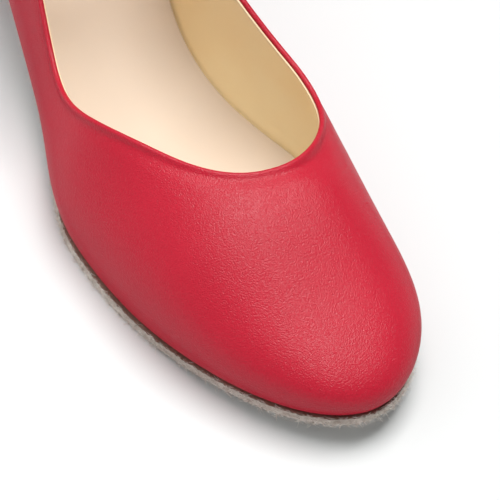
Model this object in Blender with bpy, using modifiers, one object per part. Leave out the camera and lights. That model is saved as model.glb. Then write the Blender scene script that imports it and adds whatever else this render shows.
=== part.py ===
"""Character shoe for the right foot, with a low block heel.

The frame is +X to the toe, +Y to the inner (medial) side and +Z up. The last
is a set of sections along its length: t is the share of the length from the
back of the heel (0) to the tip of the toe (1). Lengths here are millimetres
until a mesh is made from them.
"""
import bpy
import bmesh
import numpy as np

MM = 0.001
MEDIAL = 1
LATERAL = -1

# Sizes of the last
LAST_LENGTH = 240.0
BALL_WIDTH = 72.0
INSTEP_HEIGHT = 74.0
QUARTER_HEIGHT = 54.0
WALL_SWELL = 3.0
HEEL_LIFT = 38.4
TOE_SPRING = 8.4

# Thicknesses and gaps
WALL = 2.0
SEAM_GAP = 0.3
OUTSOLE_THICKNESS = 2.0
INSOLE_THICKNESS = 2.2
INSOLE_SIDE_GAP = 0.6
TOP_PIECE_THICKNESS = 5.0
STRAP_THICKNESS = 1.8
TAB_THICKNESS = 1.2

# Strap and buckle
STRAP_PLACE = 0.36
STRAP_LEAN = 20.0
STRAP_WIDTH = 12.0
STRAP_TAIL = 14.0
STRAP_INSIDE = 14.0
TAB_WIDTH = 11.0
TAB_INSIDE = 12.0
BUCKLE_WIRE = 2.0
BUCKLE_REACH = 12.0
BUCKLE_SIDE_GAP = 0.5
BUCKLE_CORNER = 2.0
BAR_ABOVE_COLLAR = 13.0
BAR_HEIGHT = -0.9
BUCKLE_PADDING = 0.2
PRONG_WIRE = 1.6
PRONG_OVERHANG = 2.2
HOLE_WIDTH = 2.4
STRAP_SLOT = (-0.5, 7.0)
TAB_SLOT = (-3.2, 3.4)
TAB_RETURN = 3.0
CUT_REACH = 9.0
KEEPER_WIDTH = 4.5
KEEPER_PLACE = 7.0
KEEPER_THICKNESS = 1.2
KEEPER_CORNER = 0.6
INSIDE_GAP = 0.5

# Height of the strap's underside off the last, and lengths over which it changes
TAIL_RISE = 2.6
COLLAR_RISE = 1.1
KEEPER_RISE = 0.8
BUCKLE_RISE = 0.2
KEEPER_TO_BAR = 6.0
LEVEL_BEFORE_BAR = 1.0
LEVEL_AFTER_BAR = 1.5
SETTLE_LENGTH = 12.0
DIVE_START = 20.0
DIVE_END = 8.0
LEVEL_EASE = 2.5

# Places along the last, as shares of its length
HEEL_ROUND = 0.12
TOE_ROUND_START = 0.70
NOSE_START = 0.765
SEAT_END = 0.10
TREAD_START = 0.60
TREAD_END = 0.75
THROAT = 0.753
THROAT_START = {MEDIAL: 0.65, LATERAL: 0.487}
COLLAR_JOIN = 0.45
BREAST = 0.235

# How round each closing end is: 2 is an ellipse, more is squarer
TOE_ROUNDNESS = 2.0
HEEL_ROUNDNESS = 2.2
NOSE_ROUNDNESS = 2.13
BACK_ROUNDNESS = 2.5
THROAT_ROUNDNESS = {MEDIAL: 2.1, LATERAL: 2.41}
SECTION_SIDE = 2.6
SECTION_TOP = 2.27
RIDGE_TO_MEDIAL = 0.18
RIDGE_FADE = 0.35

# t, middle of the outline in shares of the ball width (medial is positive)
CENTRE_LINE = [
    (0.00, 0.000), (0.25, 0.000), (0.42, -0.070), (0.55, -0.046),
    (0.68, -0.003), (0.80, 0.034), (0.90, 0.090), (1.00, 0.098)]

# t, half width of the outline in shares of half the ball width
OUTLINE = [
    (0.00, 0.70), (0.15, 0.72), (0.30, 0.70), (0.42, 0.68), (0.52, 0.80),
    (0.62, 1.00), (0.72, 1.00), (0.82, 0.955), (0.92, 0.955), (1.00, 0.905)]

# t, height of the last's ridge in shares of the instep height
RIDGE = [
    (0.00, 1.50), (0.30, 1.30), (0.50, 1.02), (0.60, 0.835),
    (0.70, 0.625), (0.80, 0.525), (0.90, 0.385), (1.00, 0.31)]

# t, medial and lateral height of the topline in shares of the quarter height
TOPLINE = [
    (0.00, 1.00, 1.00), (0.15, 0.945, 0.93), (0.30, 0.86, 0.80),
    (0.42, 0.82, 0.625), (0.50, 0.88, 0.52), (0.58, 0.75, 0.57),
    (0.75, 0.645, 0.58)]

# t, medial and lateral swell of the wall in shares of the wall swell
SWELL = [
    (0.00, 0.80, 0.80), (0.20, 0.80, 0.80), (0.45, 0.90, 0.40),
    (0.60, 0.90, 0.90), (0.72, 0.65, 0.90), (0.86, 0.90, 1.80),
    (1.00, 1.30, 1.30)]

# t, how far the outsole stands out past the upper, in shares of its thickness
SOLE_MARGIN = [
    (0.00, 0.00), (0.20, -0.20), (0.42, -0.70), (0.60, 0.15), (0.75, 0.25),
    (1.00, 0.25)]

# share of the heel's height from the top, then in shares of that height how far
# the back, the breast and each side draw in
HEEL_PROFILE = [
    (0.00, 0.00, 0.00, 0.00), (0.12, 0.03, 0.03, 0.03), (0.30, 0.07, 0.08, 0.065),
    (0.52, 0.105, 0.12, 0.095), (0.76, 0.125, 0.145, 0.11), (1.00, 0.13, 0.15, 0.11)]
BREAST_HOLLOW = 2.5

# Steps of the meshes
RINGS_PER_SIDE = 45
WALL_ROWS = 13
TABLE_STEPS = 300
HEEL_LAYERS = 9
HEEL_STATIONS = 17
HEEL_CROWDING = 1.6
HEEL_ACROSS = 5
STRAP_STATIONS = 76


class Curve:
    """A natural cubic through the rows of a table."""

    def __init__(self, places, values):
        x = np.array(places, float)
        y = np.array(values, float)
        h = np.diff(x)
        count = len(x)
        system = np.eye(count)
        right = np.zeros(count)
        for i in range(1, count - 1):
            system[i, i - 1:i + 2] = h[i - 1], 2 * (h[i - 1] + h[i]), h[i]
            right[i] = 6 * ((y[i + 1] - y[i]) / h[i] - (y[i] - y[i - 1]) / h[i - 1])
        self.x, self.y, self.h = x, y, h
        self.bend = np.linalg.solve(system, right)

    def __call__(self, t):
        t = np.asarray(t, float)
        i = np.clip(np.searchsorted(self.x, t, side="right") - 1, 0, len(self.h) - 1)
        h = self.h[i]
        a = (self.x[i + 1] - t) / h
        b = (t - self.x[i]) / h
        line = a * self.y[i] + b * self.y[i + 1]
        sway = (a ** 3 - a) * self.bend[i] + (b ** 3 - b) * self.bend[i + 1]
        return line + sway * h ** 2 / 6


def column(table, index, size=1.0):
    return Curve([row[0] for row in table], [row[index] * size for row in table])


def closing(share, roundness):
    """1 at the start of a rounded end and 0 at its tip."""
    share = np.clip(share, 0, 1)
    return (1 - share ** roundness) ** (1 / roundness)


def ease(share):
    share = np.clip(share, 0, 1)
    return share * share * (3 - 2 * share)


centre_y = column(CENTRE_LINE, 1, BALL_WIDTH)
plain_half = column(OUTLINE, 1, BALL_WIDTH / 2)
plain_ridge = column(RIDGE, 1, INSTEP_HEIGHT)
collar_height = {MEDIAL: column(TOPLINE, 1, QUARTER_HEIGHT),
                 LATERAL: column(TOPLINE, 2, QUARTER_HEIGHT)}
swell = {MEDIAL: column(SWELL, 1, WALL_SWELL), LATERAL: column(SWELL, 2, WALL_SWELL)}
sole_margin = column(SOLE_MARGIN, 1, OUTSOLE_THICKNESS)


def place_of(x):
    """Share of the length at x."""
    return x / LAST_LENGTH + 0.5


def x_of(t):
    return (t - 0.5) * LAST_LENGTH


def bed(t):
    """Height of the last's bottom above the floor."""
    heel = ease((TREAD_START - t) / (TREAD_START - SEAT_END))
    toe = np.clip((t - TREAD_END) / (1 - TREAD_END), 0, 1) ** 2
    return OUTSOLE_THICKNESS + SEAM_GAP + HEEL_LIFT * heel + TOE_SPRING * toe


def half_width(t):
    toe = closing((t - TOE_ROUND_START) / (1 - TOE_ROUND_START), TOE_ROUNDNESS)
    heel = closing((HEEL_ROUND - t) / HEEL_ROUND, HEEL_ROUNDNESS)
    return plain_half(t) * toe * heel


def ridge_height(t):
    nose = closing((t - NOSE_START) / (1 - NOSE_START), NOSE_ROUNDNESS)
    back = closing((HEEL_ROUND - t) / HEEL_ROUND, BACK_ROUNDNESS)
    return plain_ridge(t) * nose * back


def ridge_y(t):
    fade = np.clip((1 - t) / RIDGE_FADE, 0, 1) * np.clip(t / RIDGE_FADE, 0, 1)
    return centre_y(t) + RIDGE_TO_MEDIAL * fade * half_width(t)


def edge_y(t, side):
    return centre_y(t) + side * half_width(t)


def section_height(t, y):
    """Height of the last's surface above its bottom."""
    side = np.where(y >= ridge_y(t), 1.0, -1.0)
    reach = np.maximum(np.abs(edge_y(t, side) - ridge_y(t)), 1e-6)
    share = np.clip(np.abs(y - ridge_y(t)) / reach, 0, 1)
    return ridge_height(t) * (1 - share ** SECTION_SIDE) ** (1 / SECTION_TOP)


def share_at_height(t, height):
    """How far from ridge to edge the section has the given height."""
    share = np.clip(height / np.maximum(ridge_height(t), 1e-6), 0, 1)
    return (1 - share ** SECTION_TOP) ** (1 / SECTION_SIDE)


def lengths_along(points):
    steps = np.linalg.norm(np.diff(points, axis=0), axis=1)
    return np.concatenate([[0], np.cumsum(steps)])


def points_at(points, lengths, wanted):
    return np.stack([np.interp(wanted, lengths, points[:, k])
                     for k in range(points.shape[1])], 1)


def outline_points(side, margin=None):
    """Outline from toe to heel on one side, moved out by a margin in mm."""
    t = (1 + np.cos(np.linspace(0, np.pi, TABLE_STEPS))) / 2
    fine = np.stack([x_of(t), edge_y(t, side)], 1)
    lengths = lengths_along(fine)
    points = points_at(fine, lengths, np.linspace(0, lengths[-1], RINGS_PER_SIDE))
    if margin is None:
        return points
    return points + outward(points, side) * margin(place_of(points[:, 0]))[:, None]


def outward(points, side):
    """Plan normals of an outline that runs from toe to heel."""
    along = np.gradient(points, axis=0)
    along[0] = 0, side
    along[-1] = 0, -side
    normal = np.stack([along[:, 1], -along[:, 0]], 1) * side
    return normal / np.linalg.norm(normal, axis=1)[:, None]


def throat_curve(side):
    """Plan of the topline from the middle of the throat back to the collar."""
    t = COLLAR_JOIN + (THROAT - COLLAR_JOIN) * np.cos(np.linspace(0, np.pi / 2, TABLE_STEPS))
    start = THROAT_START[side]
    share = share_at_height(t, collar_height[side](t))
    share = share * closing((t - start) / (THROAT - start), THROAT_ROUNDNESS[side])
    return np.stack([x_of(t), ridge_y(t) + share * (edge_y(t, side) - ridge_y(t))], 1)


def collar_points(foot, side):
    """Plan points straight in from the outline where the wall meets the topline."""
    t = place_of(foot[:, 0])
    inner_t = np.maximum(t, HEEL_ROUND)
    inner = np.stack([x_of(inner_t), ridge_y(inner_t)], 1)
    wanted = collar_height[side](t)
    low = np.zeros(len(foot))
    high = np.ones(len(foot))
    for _ in range(40):
        middle = (low + high) / 2
        point = foot + (inner - foot) * middle[:, None]
        below = section_height(place_of(point[:, 0]), point[:, 1]) < wanted
        low = np.where(below, middle, low)
        high = np.where(below, high, middle)
    return foot + (inner - foot) * high[:, None]


def topline_points(foot, side):
    """Plan point of the topline over each point of the outline."""
    along = lengths_along(foot)
    front_length = np.interp(-x_of(COLLAR_JOIN), -foot[:, 0], along)
    throat = throat_curve(side)
    throat_lengths = lengths_along(throat)
    r = np.clip(along / front_length, 0, 1)
    # The rings fan out from the throat and meet the collar's own spacing.
    first = 0.5
    last = front_length / throat_lengths[-1] - 2 + first
    share = first * r + (1 - first - last) * r ** 2 + last * r ** 3
    front = points_at(throat, throat_lengths, share * throat_lengths[-1])
    back = collar_points(foot, side)
    return np.where((along < front_length)[:, None], front, back)


def wall_points(side):
    """Outer surface of one side, [ring from toe to heel][row from sole to topline]."""
    foot = outline_points(side)
    top = topline_points(foot, side)
    rise = np.linspace(0, 1, WALL_ROWS)
    plan = foot[:, None] + (top - foot)[:, None] * (rise ** 2)[None, :, None]
    t = place_of(plan[..., 0])
    height = section_height(t, plan[..., 1])
    height[:, 0] = 0
    # The belly is 1 at its widest, a third of the way up.
    belly = 27 / 4 * rise * (1 - rise) ** 2
    amount = swell[side](place_of(foot[:, 0]))[:, None] * belly[None]
    plan = plan + outward(foot, side)[:, None] * amount[..., None]
    return np.concatenate([plan, (bed(t) + height)[..., None]], 2)


def mesh_object(name, points, faces, material, closed=True):
    """An object from points in mm; coinciding points are one vertex."""
    mesh = bpy.data.meshes.new(name)
    mesh.from_pydata([tuple(p) for p in np.asarray(points) * MM], [], faces)
    shape = bmesh.new()
    shape.from_mesh(mesh)
    bmesh.ops.remove_doubles(shape, verts=shape.verts, dist=1e-6)
    if closed:
        bmesh.ops.recalc_face_normals(shape, faces=shape.faces)
    shape.to_mesh(mesh)
    shape.free()
    mesh.materials.append(material)
    piece = bpy.data.objects.new(name, mesh)
    parts.objects.link(piece)
    return piece


def grid_faces(rows, columns, wrap=False, offset=0):
    """Quads over a grid of points numbered row by row."""
    faces = []
    for i in range(rows if wrap else rows - 1):
        for k in range(columns - 1):
            a = offset + i * columns + k
            b = offset + (i + 1) % rows * columns + k
            faces.append((a, a + 1, b + 1, b))
    return faces


def slab(name, layers, material):
    """A closed body from layers of points, [layer][station][across]."""
    layers = np.asarray(layers)
    count, stations, across = layers.shape[:3]
    size = stations * across
    faces = grid_faces(stations, across)
    faces += grid_faces(stations, across, offset=(count - 1) * size)
    rim = list(range(across))
    rim += [i * across + across - 1 for i in range(1, stations)]
    rim += [(stations - 1) * across + k for k in range(across - 2, -1, -1)]
    rim += [i * across for i in range(stations - 2, 0, -1)]
    for layer in range(count - 1):
        for a, b in zip(rim, rim[1:] + rim[:1]):
            faces.append((layer * size + a, layer * size + b,
                          (layer + 1) * size + b, (layer + 1) * size + a))
    mesh_object(name, layers.reshape(-1, 3), faces, material)


def solidify(piece, thickness, offset):
    """Give a sheet its thickness; offset -1 grows inward, 0 both ways, 1 outward."""
    modifier = piece.modifiers.new("thickness", "SOLIDIFY")
    modifier.thickness = thickness * MM
    modifier.offset = offset
    modifier.use_even_offset = True


def finish(name, colour, roughness, metallic=0.0):
    material = bpy.data.materials.new(name)
    material.use_nodes = True
    shader = material.node_tree.nodes["Principled BSDF"]
    shader.inputs["Base Color"].default_value = (*colour, 1)
    shader.inputs["Roughness"].default_value = roughness
    shader.inputs["Metallic"].default_value = metallic
    material.diffuse_color = (*colour, 1)
    return material


def make_upper():
    """One lasted shell, open along the topline and underneath."""
    lateral = wall_points(LATERAL)
    medial = wall_points(MEDIAL)
    rings = np.concatenate([lateral, medial[-2:0:-1]])
    faces = grid_faces(len(rings), WALL_ROWS, wrap=True)
    upper = mesh_object("upper", rings.reshape(-1, 3), faces, red_leather(), closed=False)
    solidify(upper, WALL, -1)
    upper.data.shade_smooth()


def plate(name, margin, top, bottom, material):
    """A thin full-length piece between two heights above the floor."""
    sides = [outline_points(side, margin) for side in (LATERAL, MEDIAL)]
    plan = np.stack(sides, 1)
    t = np.clip(place_of(plan[..., 0]), 0, 1)
    layers = [np.concatenate([plan, level(t)[..., None]], 2) for level in (top, bottom)]
    slab(name, layers, material)


def outsole_top(t):
    return bed(t) - SEAM_GAP


def outsole_bottom(t):
    return outsole_top(t) - OUTSOLE_THICKNESS


def make_outsole():
    plate("outsole", sole_margin, outsole_top, outsole_bottom,
          finish("suede", (0.60, 0.50, 0.42), 0.95))


def make_insole():
    def inset(t):
        return np.full_like(t, -(WALL + INSOLE_SIDE_GAP))

    def top(t):
        return bed(t) + INSOLE_THICKNESS

    plate("insole", inset, top, bed, finish("insole_leather", (0.90, 0.72, 0.55), 0.6))


def heel_layer(share, level):
    """One level of the block, from the back to the breast and across."""
    back_in, breast_in, side_in = [column(HEEL_PROFILE, k, HEEL_LIFT)(share) for k in (1, 2, 3)]
    stations = np.linspace(0, 1, HEEL_STATIONS) ** HEEL_CROWDING
    t = BREAST * stations
    x = x_of(0) + back_in + (x_of(BREAST) - x_of(0) - back_in - breast_in) * stations
    across = np.linspace(-1, 1, HEEL_ACROSS)
    half = half_width(t) + sole_margin(t)
    half = half * (1 - side_in / half_width(HEEL_ROUND))
    y = centre_y(t)[:, None] + half[:, None] * across[None]
    hollow = BREAST_HOLLOW * (1 - across ** 2)[None] * (stations ** 4)[:, None]
    x = x[:, None] - hollow
    return np.stack([x, y, level(place_of(x), share)], 2)


def make_heel():
    """Block under the seat, down to the top piece."""
    def level(t, share):
        top = outsole_bottom(np.clip(t, 0, 1)) - SEAM_GAP
        return top * (1 - share) + (TOP_PIECE_THICKNESS + SEAM_GAP) * share

    layers = [heel_layer(share, level) for share in np.linspace(0, 1, HEEL_LAYERS)]
    slab("heel", layers, red_leather())


def make_top_piece():
    """Flat piece that the heel stands on."""
    layers = []
    for height in (TOP_PIECE_THICKNESS, 0.0):
        layers.append(heel_layer(1.0, lambda t, share: np.full_like(t, height)))
    slab("heel_top_piece", layers, finish("heel_rubber", (0.03, 0.03, 0.03), 0.7))


class StrapLine:
    """Places on and above the instep, round the section under the strap.

    The section's plane leans to the toe, square to the foot. s is the length up
    from the lateral topline and over to the medial side, w is the place across
    the strap towards the toe, and d is the height off the last.
    """

    def __init__(self):
        lean = np.radians(STRAP_LEAN)
        self.up = np.array([np.sin(lean), 0, np.cos(lean)])
        self.across = np.array([np.cos(lean), 0, -np.sin(lean)])
        collar = collar_height[LATERAL](STRAP_PLACE)
        self.base = np.array([x_of(STRAP_PLACE), 0, bed(STRAP_PLACE) + collar])
        self.base = self.base - self.up * collar / self.up[2]
        self.sections = {}
        line, lengths, apex = self.trace(0.0)
        here = self.base + line[:, 1:] * self.up
        above = here[:, 2] - bed(place_of(here[:, 0]))
        half = np.argmax(line[:, 1])
        t = place_of(here[:, 0])
        low = np.interp(0, (above - collar_height[LATERAL](t))[:half], lengths[:half])
        high = np.interp(0, (collar_height[MEDIAL](t) - above)[half:], lengths[half:])
        self.apex = apex - low
        self.arch = high - low

    def trace(self, w):
        """Section at w as (y, height in the plane), its lengths and its apex."""
        share = -np.cos(np.linspace(0, np.pi, 2 * TABLE_STEPS))
        start = self.base + w * self.across
        low = np.zeros(len(share))
        high = np.full(len(share), 2 * INSTEP_HEIGHT)
        for _ in range(40):
            h = (low + high) / 2
            t = place_of(start[0] + h * self.up[0])
            top = ridge_height(t) * (1 - np.abs(share) ** SECTION_SIDE) ** (1 / SECTION_TOP)
            below = start[2] + h * self.up[2] < bed(t) + top
            low = np.where(below, h, low)
            high = np.where(below, high, h)
        edge = np.where(share < 0, edge_y(t, LATERAL), edge_y(t, MEDIAL))
        line = np.stack([ridge_y(t) + np.abs(share) * (edge - ridge_y(t)), h], 1)
        lengths = lengths_along(line)
        return line, lengths, lengths[np.argmax(h)]

    def point(self, s, w, d):
        key = round(float(w), 4)
        if key not in self.sections:
            self.sections[key] = self.trace(key)
        line, lengths, apex = self.sections[key]
        here = points_at(line, lengths + self.apex - apex, [s - 0.5, s, s + 0.5])
        along = (here[2] - here[0]) / np.linalg.norm(here[2] - here[0])
        y, h = here[1] + np.array([-along[1], along[0]]) * d
        return self.base + w * self.across + h * self.up + np.array([0, y, 0])


def strap_under(arch):
    """Height of the strap's underside along its length: s, d."""
    bar = BAR_ABOVE_COLLAR
    over_bar = BAR_HEIGHT + BUCKLE_WIRE / 2 + PRONG_WIRE + 2 * SEAM_GAP + BUCKLE_PADDING
    on_foot = -STRAP_THICKNESS
    inside = -(WALL + STRAP_THICKNESS + INSIDE_GAP)
    far_side = bar + BUCKLE_REACH
    rows = [(-STRAP_TAIL, TAIL_RISE), (0.0, COLLAR_RISE), (bar - KEEPER_TO_BAR, KEEPER_RISE),
            (bar - LEVEL_BEFORE_BAR, over_bar), (bar + LEVEL_AFTER_BAR, over_bar),
            (far_side, BUCKLE_RISE), (far_side + SETTLE_LENGTH, on_foot),
            (arch - DIVE_START, on_foot), (arch - DIVE_END, inside),
            (arch + STRAP_INSIDE, inside)]
    places = [row[0] for row in rows]
    levels = [row[1] for row in rows]
    return places, levels


def smooth_levels(places, levels, s):
    """Follow the rows with each corner eased over a few millimetres."""
    window = np.linspace(-LEVEL_EASE, LEVEL_EASE, 11)
    return np.mean([np.interp(s + shift, places, levels) for shift in window], axis=0)


def cut_slot(piece, line, start, end, width):
    """Cut a slot through a strap from start to end along it."""
    points = []
    for d in (-CUT_REACH, CUT_REACH):
        for s in (start, end):
            for w in (-width / 2, width / 2):
                points.append(line.point(s, w, d))
    order = [(0, 1, 3, 2), (4, 5, 7, 6), (0, 1, 5, 4), (2, 3, 7, 6), (0, 2, 6, 4), (1, 3, 7, 5)]
    cutter = mesh_object(piece.name + "_slot", points, order, piece.data.materials[0])
    parts.objects.unlink(cutter)
    cutters.objects.link(cutter)
    cutter.hide_render = True
    cutter.display_type = "WIRE"
    modifier = piece.modifiers.new("slot", "BOOLEAN")
    modifier.operation = "DIFFERENCE"
    modifier.object = cutter


def sheet_along(name, line, path, width, thickness, material):
    """A strap whose middle follows a path of (s, d), with its thickness both ways."""
    across = np.linspace(-width / 2, width / 2, 3)
    points = [[line.point(s, w, d) for w in across] for s, d in path]
    faces = grid_faces(len(path), len(across))
    sheet = mesh_object(name, np.reshape(points, (-1, 3)), faces, material, closed=False)
    solidify(sheet, thickness, 0)
    return sheet


def make_strap(line):
    places, levels = strap_under(line.arch)
    s = np.linspace(-STRAP_TAIL, line.arch + STRAP_INSIDE, STRAP_STATIONS)
    d = smooth_levels(places, levels, s) + STRAP_THICKNESS / 2
    strap = sheet_along("strap", line, list(zip(s, d)), STRAP_WIDTH, STRAP_THICKNESS, red_leather())
    start, end = STRAP_SLOT
    cut_slot(strap, line, BAR_ABOVE_COLLAR + start, BAR_ABOVE_COLLAR + end, HOLE_WIDTH)


def make_buckle_tab(line):
    """Short tab from inside the lateral quarter, folded round the buckle's bar."""
    bar, height = BAR_ABOVE_COLLAR, BAR_HEIGHT
    radius = BUCKLE_WIRE / 2 + 1.5 * SEAM_GAP + TAB_THICKNESS / 2
    inside = -(WALL + INSIDE_GAP + TAB_THICKNESS / 2)
    path = [(s, inside) for s in np.linspace(-TAB_INSIDE, bar * 0.22, 6)]
    path += [(bar * 0.38, inside * 0.8), (bar * 0.55, inside * 0.42), (bar * 0.75, inside * 0.02)]
    for turn in np.linspace(np.pi / 2, -np.pi / 2, 9):
        path.append((bar + radius * np.cos(turn), height + radius * np.sin(turn)))
    path.append((bar - TAB_RETURN, height - radius))
    tab = sheet_along("buckle_tab", line, path, TAB_WIDTH, TAB_THICKNESS, red_leather())
    start, end = TAB_SLOT
    cut_slot(tab, line, bar + start, bar + end, HOLE_WIDTH)


def wire(name, points, thickness, material, cyclic=False):
    """A round wire through points in mm."""
    data = bpy.data.curves.new(name, "CURVE")
    data.dimensions = "3D"
    data.bevel_depth = thickness / 2 * MM
    data.bevel_resolution = 2
    data.use_fill_caps = not cyclic
    spline = data.splines.new("POLY")
    spline.points.add(len(points) - 1)
    for target, point in zip(spline.points, points):
        target.co = (*(np.array(point) * MM), 1)
    spline.use_cyclic_u = cyclic
    data.materials.append(material)
    parts.objects.link(bpy.data.objects.new(name, data))


def frame_side(line):
    """Height of the buckle's upper side, which lies on the strap."""
    places, levels = strap_under(line.arch)
    under = smooth_levels(places, levels, BAR_ABOVE_COLLAR + BUCKLE_REACH)
    return under + STRAP_THICKNESS + SEAM_GAP + BUCKLE_WIRE / 2 + BUCKLE_PADDING


def make_buckle(line):
    """Rectangular frame: its bar is under the strap and its far side on top."""
    bar, low = BAR_ABOVE_COLLAR, BAR_HEIGHT
    high = frame_side(line)
    corner = BUCKLE_CORNER
    half = STRAP_WIDTH / 2 + BUCKLE_SIDE_GAP + BUCKLE_WIRE / 2
    middle = BUCKLE_REACH / 2
    corners = [(middle - corner, half - corner), (corner - middle, half - corner),
               (corner - middle, corner - half), (middle - corner, corner - half)]
    points = []
    for quarter, (s, w) in enumerate(corners):
        for turn in np.linspace(0, np.pi / 2, 4):
            angle = quarter * np.pi / 2 + turn
            along = s + corner * np.cos(angle)
            share = 0.5 + along / BUCKLE_REACH
            points.append(line.point(bar + middle + along, w + corner * np.sin(angle),
                                     low + (high - low) * share))
    wire("buckle", points, BUCKLE_WIRE, gilt(), cyclic=True)


def make_prong(line):
    """Prong: an open loop round the bar, then up through the strap's hole."""
    bar, height = BAR_ABOVE_COLLAR, BAR_HEIGHT
    radius = BUCKLE_WIRE / 2 + SEAM_GAP + PRONG_WIRE / 2
    path = []
    for turn in np.linspace(0, -1.5 * np.pi, 13):
        path.append((bar + radius * np.cos(turn), height + radius * np.sin(turn)))
    rest = frame_side(line) + BUCKLE_WIRE / 2 + SEAM_GAP + PRONG_WIRE / 2
    start = height + radius
    for share in np.linspace(0.12, 1, 8):
        s = bar + share * (BUCKLE_REACH + PRONG_OVERHANG)
        path.append((s, start + (rest - start) * ease((s - bar) / (BUCKLE_REACH - 2))))
    points = [line.point(s, 0.0, d) for s, d in path]
    wire("buckle_prong", points, PRONG_WIRE, gilt())


def make_keeper(line):
    """Leather loop round the strap's tail and the tab."""
    places, levels = strap_under(line.arch)
    reach = np.linspace(-0.5, 0.5, 3) * KEEPER_WIDTH + KEEPER_PLACE
    top = max(smooth_levels(places, levels, s) for s in reach) + STRAP_THICKNESS + SEAM_GAP
    corner = KEEPER_CORNER
    bottom = corner - (WALL + INSIDE_GAP + TAB_THICKNESS) - SEAM_GAP
    half = STRAP_WIDTH / 2 + SEAM_GAP
    ring = []
    middle = (top + bottom) / 2
    rise = (top - bottom) / 2
    for quarter, (w, d) in enumerate([(1, 1), (-1, 1), (-1, -1), (1, -1)]):
        for turn in np.linspace(0, np.pi / 2, 3):
            angle = quarter * np.pi / 2 + turn
            ring.append((w * (half - corner) + corner * np.cos(angle),
                         middle + d * (rise - corner) + corner * np.sin(angle)))
    points = [[line.point(s, w, d) for s in reach] for w, d in ring]
    faces = grid_faces(len(ring), len(reach), wrap=True)
    keeper = mesh_object("keeper", np.reshape(points, (-1, 3)), faces, red_leather(), closed=False)
    solidify(keeper, KEEPER_THICKNESS, 1)


def red_leather():
    return finish("red_leather", (0.52, 0.035, 0.06), 0.42)


def gilt():
    return finish("gilt_metal", (0.83, 0.62, 0.28), 0.25, 1.0)


def stand_on_origin():
    """Move every mesh so that the origin is under the middle of the shoe's box."""
    bpy.context.view_layer.update()
    graph = bpy.context.evaluated_depsgraph_get()
    corners = []
    for piece in parts.objects:
        seen = piece.evaluated_get(graph)
        corners += [seen.matrix_world @ v.co for v in seen.to_mesh().vertices]
    corners = np.array(corners)
    shift = -(corners.min(0) + corners.max(0)) / 2
    for piece in list(parts.objects) + list(cutters.objects):
        piece.location = shift[0], shift[1], 0


for old in list(bpy.data.objects):
    bpy.data.objects.remove(old)

parts = bpy.data.collections.new("character_shoe")
cutters = bpy.data.collections.new("cutters")
bpy.context.scene.collection.children.link(parts)
bpy.context.scene.collection.children.link(cutters)

make_upper()
make_outsole()
make_insole()
make_heel()
make_top_piece()
strap_line = StrapLine()
make_strap(strap_line)
make_buckle_tab(strap_line)
make_buckle(strap_line)
make_prong(strap_line)
make_keeper(strap_line)
stand_on_origin()
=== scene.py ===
"""Looks of a red leather character shoe for the right foot.

The shapes are worked out in millimetres in the frame of the last, with +X to the
toe, +Y to the inner (medial) side and +Z up. A mesh is made in metres and moved
by the shift between the last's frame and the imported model's.
"""

import bmesh
import bpy
import numpy as np
from mathutils import Matrix, Vector


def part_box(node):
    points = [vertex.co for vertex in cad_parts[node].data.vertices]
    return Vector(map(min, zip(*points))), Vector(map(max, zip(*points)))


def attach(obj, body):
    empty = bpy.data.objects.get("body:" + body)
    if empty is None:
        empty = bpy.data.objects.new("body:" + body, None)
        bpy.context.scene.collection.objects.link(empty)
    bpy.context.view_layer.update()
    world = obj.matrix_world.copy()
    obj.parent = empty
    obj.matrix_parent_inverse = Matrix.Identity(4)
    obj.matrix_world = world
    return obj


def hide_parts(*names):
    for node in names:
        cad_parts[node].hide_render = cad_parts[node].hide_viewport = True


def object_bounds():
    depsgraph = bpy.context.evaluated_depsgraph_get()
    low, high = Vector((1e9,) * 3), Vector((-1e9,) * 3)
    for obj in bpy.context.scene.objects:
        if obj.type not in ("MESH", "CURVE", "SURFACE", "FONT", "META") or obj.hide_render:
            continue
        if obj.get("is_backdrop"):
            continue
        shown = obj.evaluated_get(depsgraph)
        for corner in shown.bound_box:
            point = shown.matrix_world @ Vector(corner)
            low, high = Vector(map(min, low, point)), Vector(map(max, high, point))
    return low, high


MM = 0.001
MEDIAL = 1
LATERAL = -1

# Sizes of the last
LAST_LENGTH = 240.0
BALL_WIDTH = 72.0
INSTEP_HEIGHT = 74.0
QUARTER_HEIGHT = 54.0
WALL_SWELL = 3.0
HEEL_LIFT = 38.4
TOE_SPRING = 8.4

# Thicknesses and gaps of the model's pieces
WALL = 2.0
SEAM_GAP = 0.3
OUTSOLE_THICKNESS = 2.0
INSOLE_THICKNESS = 2.2
INSOLE_SIDE_GAP = 0.6
TOP_PIECE_THICKNESS = 5.0
STRAP_THICKNESS = 1.8
TAB_THICKNESS = 1.2

# Strap and buckle
STRAP_PLACE = 0.36
STRAP_LEAN = 20.0
STRAP_WIDTH = 12.0
STRAP_TAIL = 14.0
STRAP_INSIDE = 14.0
TAB_WIDTH = 11.0
TAB_INSIDE = 12.0
BUCKLE_WIRE = 2.0
BUCKLE_REACH = 12.0
BUCKLE_SIDE_GAP = 0.5
BUCKLE_CORNER = 2.0
BAR_ABOVE_COLLAR = 13.0
BAR_HEIGHT = -0.9
BUCKLE_PADDING = 0.2
PRONG_WIRE = 1.6
PRONG_OVERHANG = 2.2
HOLE_WIDTH = 2.4
STRAP_SLOT = (-0.5, 7.0)
TAB_SLOT = (-3.2, 3.4)
TAB_RETURN = 3.0
CUT_REACH = 9.0
KEEPER_WIDTH = 4.5
KEEPER_PLACE = 7.0
KEEPER_THICKNESS = 1.2
KEEPER_CORNER = 0.6
INSIDE_GAP = 0.5

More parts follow.
